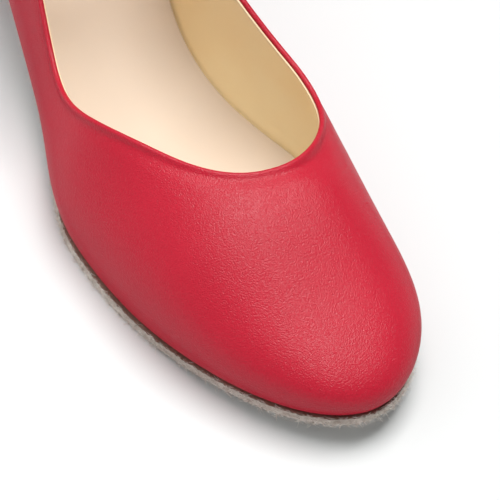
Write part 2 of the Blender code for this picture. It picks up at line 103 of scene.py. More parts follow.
# Height of the strap's underside off the last, and lengths over which it changes
TAIL_RISE = 2.6
COLLAR_RISE = 1.1
KEEPER_RISE = 0.8
BUCKLE_RISE = 0.2
KEEPER_TO_BAR = 6.0
LEVEL_BEFORE_BAR = 1.0
LEVEL_AFTER_BAR = 1.5
SETTLE_LENGTH = 12.0
DIVE_START = 20.0
DIVE_END = 8.0
LEVEL_EASE = 2.5

# Places along the last, as shares of its length
HEEL_ROUND = 0.12
TOE_ROUND_START = 0.70
NOSE_START = 0.765
SEAT_END = 0.10
TREAD_START = 0.60
TREAD_END = 0.75
THROAT = 0.753
THROAT_START = {MEDIAL: 0.65, LATERAL: 0.487}
COLLAR_JOIN = 0.45
BREAST = 0.235

# How round each closing end is: 2 is an ellipse, more is squarer
TOE_ROUNDNESS = 2.0
HEEL_ROUNDNESS = 2.2
NOSE_ROUNDNESS = 2.13
BACK_ROUNDNESS = 2.5
THROAT_ROUNDNESS = {MEDIAL: 2.1, LATERAL: 2.41}
SECTION_SIDE = 2.6
SECTION_TOP = 2.27
RIDGE_TO_MEDIAL = 0.18
RIDGE_FADE = 0.35

# t, middle of the outline in shares of the ball width (medial is positive)
CENTRE_LINE = [
    (0.00, 0.000), (0.25, 0.000), (0.42, -0.070), (0.55, -0.046),
    (0.68, -0.003), (0.80, 0.034), (0.90, 0.090), (1.00, 0.098)]

# t, half width of the outline in shares of half the ball width
OUTLINE = [
    (0.00, 0.70), (0.15, 0.72), (0.30, 0.70), (0.42, 0.68), (0.52, 0.80),
    (0.62, 1.00), (0.72, 1.00), (0.82, 0.955), (0.92, 0.955), (1.00, 0.905)]

# t, height of the last's ridge in shares of the instep height
RIDGE = [
    (0.00, 1.50), (0.30, 1.30), (0.50, 1.02), (0.60, 0.835),
    (0.70, 0.625), (0.80, 0.525), (0.90, 0.385), (1.00, 0.31)]

# t, medial and lateral height of the topline in shares of the quarter height
TOPLINE = [
    (0.00, 1.00, 1.00), (0.15, 0.945, 0.93), (0.30, 0.86, 0.80),
    (0.42, 0.82, 0.625), (0.50, 0.88, 0.52), (0.58, 0.75, 0.57),
    (0.75, 0.645, 0.58)]

# t, medial and lateral swell of the wall in shares of the wall swell
SWELL = [
    (0.00, 0.80, 0.80), (0.20, 0.80, 0.80), (0.45, 0.90, 0.40),
    (0.60, 0.90, 0.90), (0.72, 0.65, 0.90), (0.86, 0.90, 1.80),
    (1.00, 1.30, 1.30)]

# t, how far the outsole stands out past the upper, in shares of its thickness
SOLE_MARGIN = [
    (0.00, 0.00), (0.20, -0.20), (0.42, -0.70), (0.60, 0.15), (0.75, 0.25),
    (1.00, 0.25)]

# share of the heel's height from the top, then in shares of that height how far
# the back, the breast and each side draw in
HEEL_PROFILE = [
    (0.00, 0.00, 0.00, 0.00), (0.12, 0.03, 0.03, 0.03), (0.30, 0.07, 0.08, 0.065),
    (0.52, 0.105, 0.12, 0.095), (0.76, 0.125, 0.145, 0.11), (1.00, 0.13, 0.15, 0.11)]

# How far the heel's corners are eased and its breast is hollow
HEEL_EASE = 1.0
BREAST_HOLLOW = 2.5

# How far the cover turns in at the heel's edges, in what share of its height at the
# upper and the lower one, and between which shares its side runs
HEEL_TURN = 0.7
HEEL_EDGES = (0.004, 0.010)
HEEL_SIDE = (0.02, 0.985)

# Height and inset of the rings up the edge of the top piece
TOP_PIECE_EDGE = [
    (0.0, 0.9), (0.12, 0.45), (0.5, 0.12), (1.0, 0.0), (2.5, 0.0), (4.3, 0.0),
    (4.75, 0.12), (5.0, 0.5)]

# Steps of the model's upper, which place the last in the model's frame
MODEL_RINGS = 45
MODEL_ROWS = 13

# Steps of the meshes here
TABLE_STEPS = 900
RINGS = 230
LINING_RINGS = 120
WALL_STEPS = 90
LEVEL_ROWS = 3
SKIN_ROWS = 44
LINING_ROWS = 34
SOLE_STATIONS = 520
ROLL_STEPS = 9
HEEL_STATIONS = 120
HEEL_CROWDING = 1.8
BREAST_STEPS = 41
HEEL_COUNT = 150
HEEL_RINGS = 34
STRAP_RINGS = 190
TAB_RINGS = 70
SECTION_STEPS = 600
SECTION_COLUMNS = 13
SECTION_MARGIN = 40.0
SECTION_HALF_WIDTH = 9.0
HALVINGS = 40
RISING_STEP = 0.4

# The rolled topline: depths are distances down the wall from its top edge
ROLL_THICKNESS = 1.5
ROLL_TUCK = [0.5, 1.0, 1.6]
SKIN_DEPTHS = [0.95, 1.2, 1.55, 1.9, 2.3, 2.8, 3.4, 4.1, 4.9, 5.8, 6.8, 8.0, 9.4, 11.0]
TROUGH_DEPTH = 0.42
TROUGH_START = 1.6
TROUGH_PLACE = 2.4
TROUGH_WIDTH = 2.2
CORNER_TROUGH = 1.9
CORNER_PLACE = (57.0, 18.0)
CORNER_WIDTH = 9.0
THROAT_DIP = 0.8
DIP_START = 0.66
FEATHER_HEIGHT = 2.4
FEATHER_TUCK = 0.55
LASTING = [(5.0, 0.16), (1.2, 0.14), (0.25, 0.06)]

# The lining, with its doubled edge along the topline
LINING_THICKNESS = 0.6
LINING_GAP = 0.05
LINING_TOP = 0.95
LINING_BAND = 2.4
LINING_STEP = 0.14
LINING_FOOT = 0.15
LINING_FLARE = 0.5
LINING_FLARE_HEIGHT = 4.0
LINING_TURN = 4.0
LINING_DROP = 0.05

# The sock's edge, from the underside up: how far in, share of the thickness
SOCK_EDGE = [
    (0.05, 0.0), (0.0, 0.15), (0.0, 0.55), (0.06, 0.78), (0.22, 0.92), (0.5, 0.985),
    (0.9, 1.0)]
SOCK_HOLLOW = 0.45
SOCK_HOLLOW_FADE = 12.0
SOCK_ACROSS = 20

# The sole's edge, from the underside up: share of the flare, share of the raggedness,
# how far in, share of the thickness. The last rows and the top are dark brown, a band along the
# top of the edge.
SOLE_EDGE = [
    (0.5, 0.0, 0.5, 0.0), (0.88, 0.5, 0.0, 0.03), (1.0, 1.0, 0.0, 0.14),
    (0.8, 1.0, 0.0, 0.28), (0.62, 1.0, 0.0, 0.42), (0.42, 1.0, 0.0, 0.58),
    (0.2, 1.0, 0.0, 0.85), (0.0, 1.0, 0.0, 0.89), (0.0, 0.0, 0.1, 0.96),
    (0.0, 0.0, 0.4, 1.0)]
DARK_BAND_ROW = 6
SOLE_ACROSS = 12
SOLE_RAGGED = 0.11
SOLE_FLARE = 0.55
HEEL_FLARE = 0.2
FLARE_START = 0.30
FLARE_RISE = 0.25
FLARE_TOP = 0.75

# Fibres of the sole's edge: they start sunk into it, lift, curl and arch out
FIBRES = 13000
FIBRE_LENGTH = (0.8, 2.2)
FIBRE_WIDTH = 0.12
FIBRE_WIDTHS = (0.6, 1.3)
FIBRE_TAPER = 0.6
FIBRE_LIFT = 0.35
FIBRE_CURL = 0.7
FIBRE_SWAY = 0.35
FIBRE_ARCH = 0.16
FIBRE_SUNK = 0.12
FIBRE_CROWDING = 1.3
FIBRE_OUT = 0.12
STRAY_OUT = 0.9
STRAY_ALONG = 0.6
FIBRE_CLEARANCE = 0.03
FIBRE_SEED = 7

# Stitches, from a distance past the strap's tip to one short of the inner topline
STITCH_PITCH = 2.7
STITCH_LENGTH = 2.0
STITCH_WIDTH = 0.5
STITCH_INSET = 1.4
STITCH_TAPER = 0.45
STITCH_LIFT = 0.22
STITCH_SUNK = 0.12
FIRST_STITCH = 9.0
LAST_STITCH = 6.0

# Spare holes (lengths up from the topline), the strap's tip and its folded edges
SPARE_HOLES = (-8.0, -1.5, 30.0, 36.5, 43.0)
SPARE_HOLE_WIDTH = 1.7
TIP_LENGTH = 8.0
TIP_ROUNDNESS = 1.9
FOLD_ROUNDING = 0.8
KEEPER_ROUNDING = 0.4
FOLD_ROOM = 0.1
CROWN = 0.12
CROWN_PLACES = (0.55, 0.0, -0.55)
CROWN_REACH = 0.9
NARROWEST_HALF = 0.9

# The tab over the topline: shares of the way to the bar and of its depth inside
TAB_START = 0.22
TAB_PATH = [(0.38, 0.8), (0.55, 0.42), (0.75, 0.02)]

# The prong: shares of its thickness at its tip, and where past its loop it sets off
PRONG_TIP = (0.97, 0.9, 0.78, 0.6, 0.3)
PRONG_START = 0.06

# Grey of the studio round the shoe, by how far up it is: 0 is level and 1 overhead
SKY = [(0.0, 0.62), (0.16, 0.45), (0.34, 0.11), (1.0, 0.3)]
LIGHT_COLOUR = (1.0, 0.985, 0.955)
FLOOR_REACH = 3.0

# Camera, in the last's frame
CAMERA_TARGET = (66.753, -1.857, 20.0)
CAMERA_AZIMUTH = -30.497
CAMERA_ELEVATION = 48.72
CAMERA_ROLL = 7.072
CAMERA_DISTANCE = 653.2
CAMERA_LENS = 179.6
CAMERA_SENSOR = 36.0


class Curve:
    """A natural cubic through one column of a table, against its first column."""

    def __init__(self, table, index, size=1.0):
        self.x = x = np.array([row[0] for row in table])
        self.y = y = np.array([row[index] * size for row in table])
        self.h = h = np.diff(x)
        system = np.eye(len(x))
        right = np.zeros(len(x))
        for i in range(1, len(x) - 1):
            system[i, i - 1:i + 2] = h[i - 1], 2 * (h[i - 1] + h[i]), h[i]
            right[i] = 6 * ((y[i + 1] - y[i]) / h[i] - (y[i] - y[i - 1]) / h[i - 1])
        self.bend = np.linalg.solve(system, right)

    def __call__(self, t):
        t = np.asarray(t, float)
        i = np.clip(np.searchsorted(self.x, t, side="right") - 1, 0, len(self.h) - 1)
        h = self.h[i]
        a = (self.x[i + 1] - t) / h
        b = (t - self.x[i]) / h
        line = a * self.y[i] + b * self.y[i + 1]
        sway = (a ** 3 - a) * self.bend[i] + (b ** 3 - b) * self.bend[i + 1]
        return line + sway * h ** 2 / 6


def closing(share, roundness):
    """1 at the start of a rounded end and 0 at its tip."""
    share = np.clip(share, 0, 1)
    return (1 - share ** roundness) ** (1 / roundness)


def ease(share):
    share = np.clip(share, 0, 1)
    return share * share * (3 - 2 * share)


def hump(distance, width):
    """1 at no distance, falling to 0 over a few widths."""
    return np.exp(-(distance / width) ** 2)


centre_y = Curve(CENTRE_LINE, 1, BALL_WIDTH)
plain_half = Curve(OUTLINE, 1, BALL_WIDTH / 2)
plain_ridge = Curve(RIDGE, 1, INSTEP_HEIGHT)
collar_height = {MEDIAL: Curve(TOPLINE, 1, QUARTER_HEIGHT),
                 LATERAL: Curve(TOPLINE, 2, QUARTER_HEIGHT)}
swell = {MEDIAL: Curve(SWELL, 1, WALL_SWELL), LATERAL: Curve(SWELL, 2, WALL_SWELL)}
sole_margin = Curve(SOLE_MARGIN, 1, OUTSOLE_THICKNESS)


def place_of(x):
    """Share of the length at x."""
    return x / LAST_LENGTH + 0.5


def x_of(t):
    return (t - 0.5) * LAST_LENGTH


def bed(t):
    """Height of the last's bottom above the floor."""
    heel = ease((TREAD_START - t) / (TREAD_START - SEAT_END))
    toe = np.clip((t - TREAD_END) / (1 - TREAD_END), 0, 1) ** 2
    return OUTSOLE_THICKNESS + SEAM_GAP + HEEL_LIFT * heel + TOE_SPRING * toe


def half_width(t):
    toe = closing((t - TOE_ROUND_START) / (1 - TOE_ROUND_START), TOE_ROUNDNESS)
    heel = closing((HEEL_ROUND - t) / HEEL_ROUND, HEEL_ROUNDNESS)
    return plain_half(t) * toe * heel


def ridge_height(t):
    nose = closing((t - NOSE_START) / (1 - NOSE_START), NOSE_ROUNDNESS)
    back = closing((HEEL_ROUND - t) / HEEL_ROUND, BACK_ROUNDNESS)
    return plain_ridge(t) * nose * back


def ridge_y(t):
    fade = np.clip((1 - t) / RIDGE_FADE, 0, 1) * np.clip(t / RIDGE_FADE, 0, 1)
    return centre_y(t) + RIDGE_TO_MEDIAL * fade * half_width(t)


def edge_y(t, side):
    return centre_y(t) + side * half_width(t)


def section_height(t, y):
    """Height of the last's surface above its bottom."""
    side = np.where(y >= ridge_y(t), 1.0, -1.0)
    reach = np.maximum(np.abs(edge_y(t, side) - ridge_y(t)), 1e-6)
    share = np.clip(np.abs(y - ridge_y(t)) / reach, 0, 1)
    return ridge_height(t) * (1 - share ** SECTION_SIDE) ** (1 / SECTION_TOP)


def share_at_height(t, height):
    """How far from ridge to edge the section has the given height."""
    share = np.clip(height / np.maximum(ridge_height(t), 1e-6), 0, 1)
    return (1 - share ** SECTION_TOP) ** (1 / SECTION_SIDE)


def lengths_along(points):
    steps = np.linalg.norm(np.diff(points, axis=0), axis=1)
    return np.concatenate([[0], np.cumsum(steps)])


def points_at(points, lengths, wanted):
    return np.stack([np.interp(wanted, lengths, points[:, k])
                     for k in range(points.shape[1])], 1)


def unit(vectors):
    return vectors / np.maximum(np.linalg.norm(vectors, axis=-1, keepdims=True), 1e-9)


def outward(points, side):
    """Plan normals of an outline that runs from toe to heel."""
    along = np.gradient(points, axis=0)
    along[0] = 0, side
    along[-1] = 0, -side
    return unit(np.stack([along[:, 1], -along[:, 0]], 1) * side)


def outline_points(side, count, margin=None):
    """Outline from toe to heel on one side, moved out by a margin in mm."""
    t = (1 + np.cos(np.linspace(0, np.pi, TABLE_STEPS))) / 2
    fine = np.stack([x_of(t), edge_y(t, side)], 1)
    lengths = lengths_along(fine)
    points = points_at(fine, lengths, np.linspace(0, lengths[-1], count))
    if margin is None:
        return points
    return points + outward(points, side) * margin(place_of(points[:, 0]))[:, None]


def throat_curve(side):
    """Plan of the topline from the middle of the throat back to the collar."""
    t = COLLAR_JOIN + (THROAT - COLLAR_JOIN) * np.cos(np.linspace(0, np.pi / 2, TABLE_STEPS))
    start = THROAT_START[side]
    share = share_at_height(t, collar_height[side](t))
    share = share * closing((t - start) / (THROAT - start), THROAT_ROUNDNESS[side])
    return np.stack([x_of(t), ridge_y(t) + share * (edge_y(t, side) - ridge_y(t))], 1)


def turning_point(low, high, below):
    """The places between low and high where below stops being true."""
    for _ in range(HALVINGS):
        middle = (low + high) / 2
        under = below(middle)
        low = np.where(under, middle, low)
        high = np.where(under, high, middle)
    return middle


def collar_points(foot, side):
    """Plan points straight in from the outline where the wall meets the topline."""
    t = place_of(foot[:, 0])
    inner_t = np.maximum(t, HEEL_ROUND)
    inner = np.stack([x_of(inner_t), ridge_y(inner_t)], 1)

    def point(share):
        return foot + (inner - foot) * share[:, None]

    def below(share):
        plan = point(share)
        return section_height(place_of(plan[:, 0]), plan[:, 1]) < collar_height[side](t)

    return point(turning_point(np.zeros(len(foot)), np.ones(len(foot)), below))


def topline_points(foot, side):
    """Plan point of the topline over each point of the outline."""
    along = lengths_along(foot)
    front_length = np.interp(-x_of(COLLAR_JOIN), -foot[:, 0], along)
    throat = throat_curve(side)
    throat_lengths = lengths_along(throat)
    r = np.clip(along / front_length, 0, 1)
    # The rings fan out from the throat and meet the collar's own spacing.
    first = 0.5
    last = front_length / throat_lengths[-1] - 2 + first
    share = first * r + (1 - first - last) * r ** 2 + last * r ** 3
    front = points_at(throat, throat_lengths, share * throat_lengths[-1])
    back = collar_points(foot, side)
    return np.where((along < front_length)[:, None], front, back)


def wall_points(side, rings, rows):
    """Outer surface of one side, [ring from toe to heel][row from sole to topline]."""
    foot = outline_points(side, rings)
    top = topline_points(foot, side)
    rise = np.linspace(0, 1, rows)
    plan = foot[:, None] + (top - foot)[:, None] * (rise ** 2)[None, :, None]
    t = place_of(plan[..., 0])
    height = section_height(t, plan[..., 1])
    height[:, 0] = 0
    # 27 / 4 brings the top of the hump to 1.
    belly = 27 / 4 * rise * (1 - rise) ** 2
    amount = swell[side](place_of(foot[:, 0]))[:, None] * belly[None]
    plan = plan + outward(foot, side)[:, None] * amount[..., None]
    return np.concatenate([plan, (bed(t) + height)[..., None]], 2)


def wall_rings(rings, rows):
    """Rings of both sides in one closed round: toe, lateral side, heel, medial side."""
    lateral = wall_points(LATERAL, rings, rows)
    medial = wall_points(MEDIAL, rings, rows)
    return np.concatenate([lateral, medial[-2:0:-1]])


def ring_normals(rings):
    """Outward normals; the foot of the wall stands upright, so its own are level."""
    around = np.roll(rings, -1, axis=0) - np.roll(rings, 1, axis=0)
    rising = np.gradient(rings, axis=1)
    normals = unit(np.cross(rising, around))
    level = unit(np.stack([-around[:, 0, 1], around[:, 0, 0], np.zeros(len(rings))], 1))
    normals[:, :LEVEL_ROWS] = level[:, None]
    return normals


def model_shift():
    """From the last's frame to the model's, in mm."""
    wall = wall_rings(MODEL_RINGS, MODEL_ROWS).reshape(-1, 3)
    low, high = [np.array(corner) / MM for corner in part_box("upper")]
    middle = (low + high) / 2 - (wall.min(0) + wall.max(0)) / 2
    return np.array([middle[0], middle[1], 0.0])


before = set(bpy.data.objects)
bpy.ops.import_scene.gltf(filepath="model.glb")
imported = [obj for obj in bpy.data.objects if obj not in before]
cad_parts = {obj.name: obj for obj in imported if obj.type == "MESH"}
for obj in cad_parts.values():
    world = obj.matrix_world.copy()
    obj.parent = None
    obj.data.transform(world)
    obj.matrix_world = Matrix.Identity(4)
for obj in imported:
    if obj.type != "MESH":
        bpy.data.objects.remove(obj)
cad_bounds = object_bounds()
SHIFT = model_shift()


def add_object(name, data):
    piece = bpy.data.objects.new(name, data)
    bpy.context.scene.collection.objects.link(piece)
    return piece


def settled_mesh(piece):
    """A mesh of a piece with its modifiers or its bevel worked out."""
    bpy.context.view_layer.update()
    graph = bpy.context.evaluated_depsgraph_get()
    return bpy.data.meshes.new_from_object(piece.evaluated_get(graph))


def mesh_piece(name, points, faces, materials, face_materials=None):
    """An object from points in mm; coinciding points are one vertex."""
    mesh = bpy.data.meshes.new(name)
    placed = (np.asarray(points, float).reshape(-1, 3) + SHIFT) * MM
    mesh.from_pydata(placed.tolist(), [], faces)
    for material in materials:
        mesh.materials.append(material)
    if face_materials is not None:
        mesh.polygons.foreach_set("material_index", face_materials)
    shape = bmesh.new()
    shape.from_mesh(mesh)
    bmesh.ops.remove_doubles(shape, verts=shape.verts, dist=1e-6)
    bmesh.ops.recalc_face_normals(shape, faces=shape.faces)
    shape.to_mesh(mesh)
    shape.free()
    mesh.shade_smooth()
    return add_object(name, mesh)


def place(piece, slot, *nodes):
    """Let a piece ride with the shoe, in place of the nodes named."""
    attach(piece, "root")
    if nodes:
        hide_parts(*nodes)


def grid_faces(rows, columns, wrap=False, closed=False, start=0):
    """Quads over points numbered row by row.

    wrap joins the last row to the first, and closed each row's end to its start.
    """
    faces = []
    for i in range(rows if wrap else rows - 1):
        here = start + i * columns
        there = start + (i + 1) % rows * columns
        for k in range(columns if closed else columns - 1):
            after = (k + 1) % columns
            faces.append((here + k, here + after, there + after, there + k))
    return faces


def rounded_corners(half_width, half_height, radius, steps):
    """Points round a rectangle with round corners: across, up and the normal's angle."""
    points = []
    for quarter, (a, b) in enumerate([(1, 1), (-1, 1), (-1, -1), (1, -1)]):
        for turn in np.linspace(0, np.pi / 2, steps):
            angle = quarter * np.pi / 2 + turn
            points.append((a * (half_width - radius) + radius * np.cos(angle),
                           b * (half_height - radius) + radius * np.sin(angle), angle))
    return points


class Recipe:
    """Short calls for building a material's nodes."""

    def __init__(self, name):
        self.material = bpy.data.materials.new(name)
        self.material.use_nodes = True
        self.tree = self.material.node_tree
        self.shader = self.tree.nodes["Principled BSDF"]
        self.places = self.add("TexCoord").outputs["Object"]

    def set(self, **values):
        for name, value in values.items():
            self.shader.inputs[name.replace("_", " ")].default_value = value

    def add(self, kind, inputs=None, **settings):
        node = self.tree.nodes.new("ShaderNode" + kind)
        for name, value in settings.items():
            setattr(node, name, value)
        for name, value in (inputs or {}).items():
            if isinstance(value, bpy.types.NodeSocket):
                self.tree.links.new(value, node.inputs[name])
            else:
                node.inputs[name].default_value = value
        return node

    def link(self, socket, name):
        self.tree.links.new(socket, self.shader.inputs[name])

    def mapped(self, scale):
        return self.add("Mapping", {"Vector": self.places, "Scale": scale}).outputs["Vector"]

    def noise(self, scale, detail=2.0, roughness=0.5, places=None):
        places = self.places if places is None else places
        node = self.add("TexNoise", {"Vector": places, "Scale": scale, "Detail": detail,
                                     "Roughness": roughness})
        return node.outputs["Fac"]

    def warped(self, scale, amount):
        """Places moved about by a noise, so that no pattern looks drawn."""
        noise = self.add("TexNoise", {"Vector": self.places, "Scale": scale, "Detail": 2.0})
        centred = self.add("VectorMath", {0: noise.outputs["Color"], 1: (0.5, 0.5, 0.5)},
                           operation="SUBTRACT")
        sized = self.add("VectorMath", {0: centred.outputs[0], "Scale": amount},
                         operation="SCALE")
        moved = self.add("VectorMath", {0: self.places, 1: sized.outputs[0]}, operation="ADD")
        return moved.outputs[0]

    def cells(self, scale, places, feature="F1"):
        node = self.add("TexVoronoi", {"Vector": places, "Scale": scale}, feature=feature)
        return node.outputs["Distance"]

    def math(self, operation, first, second):
        return self.add("Math", {0: first, 1: second}, operation=operation).outputs[0]

    def blend(self, first, share, second, other_share=1.0):
        """Sum of two values, each times its share."""
        return self.math("ADD", self.math("MULTIPLY", first, share),
                         self.math("MULTIPLY", second, other_share))

    def span(self, value, low, high, to_low, to_high):
        node = self.add("MapRange", {"Value": value, "From Min": low, "From Max": high,
                                     "To Min": to_low, "To Max": to_high})
        return node.outputs["Result"]

    def bump(self, height, distance, strength, under=None):
        inputs = {"Height": height, "Distance": distance * MM, "Strength": strength}
        if under is not None:
            inputs["Normal"] = under
        return self.add("Bump", inputs).outputs["Normal"]

    def relief(self, *bump):
        self.link(self.bump(*bump), "Normal")

    def colour(self, value, low, dark, high, light):
        """Dark to light as the value goes from low to high."""
        node = self.add("ValToRGB", {"Fac": value})
        stops = node.color_ramp.elements
        for index, (position, colour) in enumerate([(low, dark), (high, light)]):
            stops[index].position = position
            stops[index].color = (*colour, 1.0)
        self.link(node.outputs["Color"], "Base Color")

    def roughness(self, value, smooth, rough):
        self.link(self.span(value, 0.3, 0.7, smooth, rough), "Roughness")


def red_leather():
    """Smooth dyed leather with a fine pebbled grain."""
    recipe = Recipe("red_leather")
    pebbles = recipe.noise(2750.0, 1.0, places=recipe.warped(700.0, 0.0005))
    fine = recipe.noise(5200.0, 2.0, 0.6)
    broad = recipe.noise(34.0)
    recipe.relief(recipe.blend(fine, 0.12, pebbles), 0.20, 0.9, recipe.bump(broad, 1.2, 0.10))
    recipe.colour(recipe.blend(broad, 0.35, pebbles, 0.65),
                  0.30, (0.425, 0.0085, 0.026), 0.70, (0.525, 0.0130, 0.036))
    recipe.roughness(fine, 0.29, 0.35)
    # The finish is soft, so it mirrors little of the bright floor where it is seen edge on.
    facing = recipe.add("LayerWeight", {"Blend": 0.5}).outputs["Facing"]
    recipe.set(Specular_IOR_Level=0.45)
    recipe.link(recipe.span(facing, 0.20, 0.70, 0.31, 0.03), "Specular IOR Level")
    return recipe.material


def lining_leather():
    """Thin golden lining leather, with pores and a soft cloudy colour."""
    recipe = Recipe("lining_leather")
    pores = recipe.cells(900.0, recipe.warped(300.0, 0.0012))
    cloud = recipe.noise(26.0, 3.0, 0.55)
    recipe.colour(cloud, 0.30, (0.98, 0.77, 0.44), 0.72, (1.0, 0.86, 0.55))
    recipe.relief(recipe.blend(pores, -0.5, recipe.noise(1800.0)), 0.10, 0.35)
    recipe.roughness(cloud, 0.27, 0.38)
    recipe.set(Specular_IOR_Level=0.6)
    return recipe.material


def lining_edge():
    """The lining's pale doubled band beside the topline."""
    recipe = Recipe("lining_band_leather")
    recipe.colour(recipe.noise(60.0, 3.0), 0.3, (0.90, 0.70, 0.45), 0.7, (0.94, 0.78, 0.55))
    recipe.relief(recipe.noise(1500.0), 0.08, 0.3)
    recipe.set(Roughness=0.5)
    return recipe.material


def sock_leather():
    """Pale matt leather of the insole."""
    recipe = Recipe("sock_leather")
    pores = recipe.cells(1250.0, recipe.warped(380.0, 0.001), "SMOOTH_F1")
    recipe.colour(recipe.noise(18.0), 0.3, (0.67, 0.56, 0.46), 0.7, (0.71, 0.60, 0.50))
    recipe.relief(recipe.blend(pores, -0.5, recipe.noise(2400.0, 2.0, 0.6)), 0.07, 0.25)
    recipe.set(Roughness=0.55, Specular_IOR_Level=0.35)
    return recipe.material


def suede(name, dark, light, nap):
    """Brushed split leather, fuzzy and matt."""
    recipe = Recipe(name)
    strands = recipe.noise(1900.0, 4.0, 0.7, recipe.mapped((0.55, 0.55, 1.6)))
    patches = recipe.noise(240.0, 3.0, 0.6)
    recipe.colour(recipe.blend(strands, 0.65, patches, 0.35), 0.33, dark, 0.67, light)
    recipe.relief(strands, nap, 0.8)
    recipe.set(Roughness=0.95, Specular_IOR_Level=0.15, Sheen_Weight=0.25, Sheen_Roughness=0.5)
    return recipe.material


def fibre_material():
    recipe = Recipe("suede_fibre")
    recipe.colour(recipe.noise(900.0), 0.35, (0.62, 0.55, 0.49), 0.65, (0.97, 0.94, 0.89))
    recipe.set(Roughness=0.85, Specular_IOR_Level=0.2)
    return recipe.material


def heel_rubber():
    """Dark moulded top piece with a scuffed sheen."""
    recipe = Recipe("heel_rubber")
    scuffs = recipe.noise(260.0, 4.0, 0.6, recipe.mapped((0.3, 1.0, 1.0)))
    recipe.colour(scuffs, 0.35, (0.018, 0.016, 0.016), 0.75, (0.05, 0.045, 0.043))
    recipe.relief(recipe.noise(1400.0, 4.0, 0.7), 0.10, 0.4)
    recipe.roughness(scuffs, 0.48, 0.72)
    return recipe.material


def gilt_metal():
    """Polished gilt with fine rubbed lines."""
    recipe = Recipe("gilt_metal")
    rubbed = recipe.noise(2200.0, 3.0, 0.6, recipe.mapped((0.2, 1.0, 1.0)))
    recipe.colour(recipe.noise(180.0, 3.0), 0.3, (0.70, 0.50, 0.22), 0.7, (0.86, 0.66, 0.33))
    recipe.roughness(rubbed, 0.14, 0.30)
    recipe.relief(rubbed, 0.02, 0.2)
    recipe.set(Metallic=1.0)
    return recipe.material


def thread_material():
    recipe = Recipe("red_thread")
    twist = recipe.noise(1700.0, places=recipe.mapped((2.4, 1.0, 2.4)))
    recipe.colour(twist, 0.3, (0.30, 0.010, 0.022), 0.7, (0.50, 0.025, 0.045))
    recipe.relief(twist, 0.08, 0.6)
    recipe.set(Roughness=0.6)
    return recipe.material


RED = red_leather()
THREAD = thread_material()
GILT = gilt_metal()


class Wall:
    """The upper's outer surface as rings, each measured along its length.

    tops are the lengths at which the topline lies, which dips a little at the throat.
    """

    def __init__(self, rings):
        self.rings = wall_rings(rings, WALL_STEPS)
        self.normals = ring_normals(self.rings)
        self.lengths = [lengths_along(ring) for ring in self.rings]
        dips = ease((place_of(self.rings[:, -1, 0]) - DIP_START) / (THROAT - DIP_START))
        self.tops = [lengths[-1] - THROAT_DIP * dip for lengths, dip in zip(self.lengths, dips)]

    def at(self, index, height):
        """Points, normals and rising directions at lengths up one ring."""
        ring, normals = self.rings[index], self.normals[index]
        lengths = self.lengths[index]
        here = points_at(ring, lengths, height)
        normal = unit(points_at(normals, lengths, height))
        ahead = points_at(ring, lengths, np.minimum(height + RISING_STEP, lengths[-1]))
        behind = points_at(ring, lengths, np.maximum(height - RISING_STEP, 0))
        return here, normal, unit(ahead - behind)


def flat(vector):
    """The part of a direction that lies level."""
    return unit(vector * np.array([1.0, 1.0, 0.0]))


def turned_in(edge, normal, inset, drop):
    """A point of leather lasted in under the bed, in from a point of its edge."""
    point = edge - flat(normal) * inset
    point[2] = bed(np.clip(place_of(point[0]), 0, 1)) - drop
    return point


def corner_share(ring):
    """1 for the ring at the inner corner of the throat, falling to 0 beside it."""
    return float(hump(np.linalg.norm(ring[-1, :2] - CORNER_PLACE), CORNER_WIDTH))


def trough(depth, corner):
    """How far the leather dips below the rolled topline."""
    size = TROUGH_DEPTH * (1 + CORNER_TROUGH * corner)
    start = ease((depth - ROLL_THICKNESS / 2) / (TROUGH_START + corner))
    return size * start * hump(np.maximum(depth - TROUGH_PLACE, 0), TROUGH_WIDTH * (1 + corner))


def make_upper():
    """Outer leather, rolled over the topline and tucked in behind the lining."""
    wall = Wall(RINGS)
    radius = ROLL_THICKNESS / 2
    near = [radius] + SKIN_DEPTHS
    turns = np.linspace(0, np.pi, ROLL_STEPS)[1:, None]
    rows = []
    for index, total in enumerate(wall.tops):
        far = np.linspace(near[-1], total, SKIN_ROWS + 1)[1:]
        depths = np.concatenate([near, far])[::-1]
        here, normal, rising = wall.at(index, total - depths)
        foot = np.clip(1 - (total - depths) / FEATHER_HEIGHT, 0, 1)
        level = -trough(depths, corner_share(wall.rings[index])) - FEATHER_TUCK * foot ** 2
        skin = here + normal * level[:, None]
        margin = [turned_in(skin[0], normal[0], inset, drop) for inset, drop in LASTING]
        middle = here[-1] - normal[-1] * radius
        roll = middle + radius * (np.cos(turns) * normal[-1] + np.sin(turns) * rising[-1])
        tuck = [roll[-1] - rising[-1] * drop for drop in ROLL_TUCK]
        rows.append(np.concatenate([margin, skin, roll, tuck]))
    faces = grid_faces(len(rows), len(rows[0]), wrap=True)
    place(mesh_piece("upper_leather", rows, faces, [RED]), "red_leather", "upper")


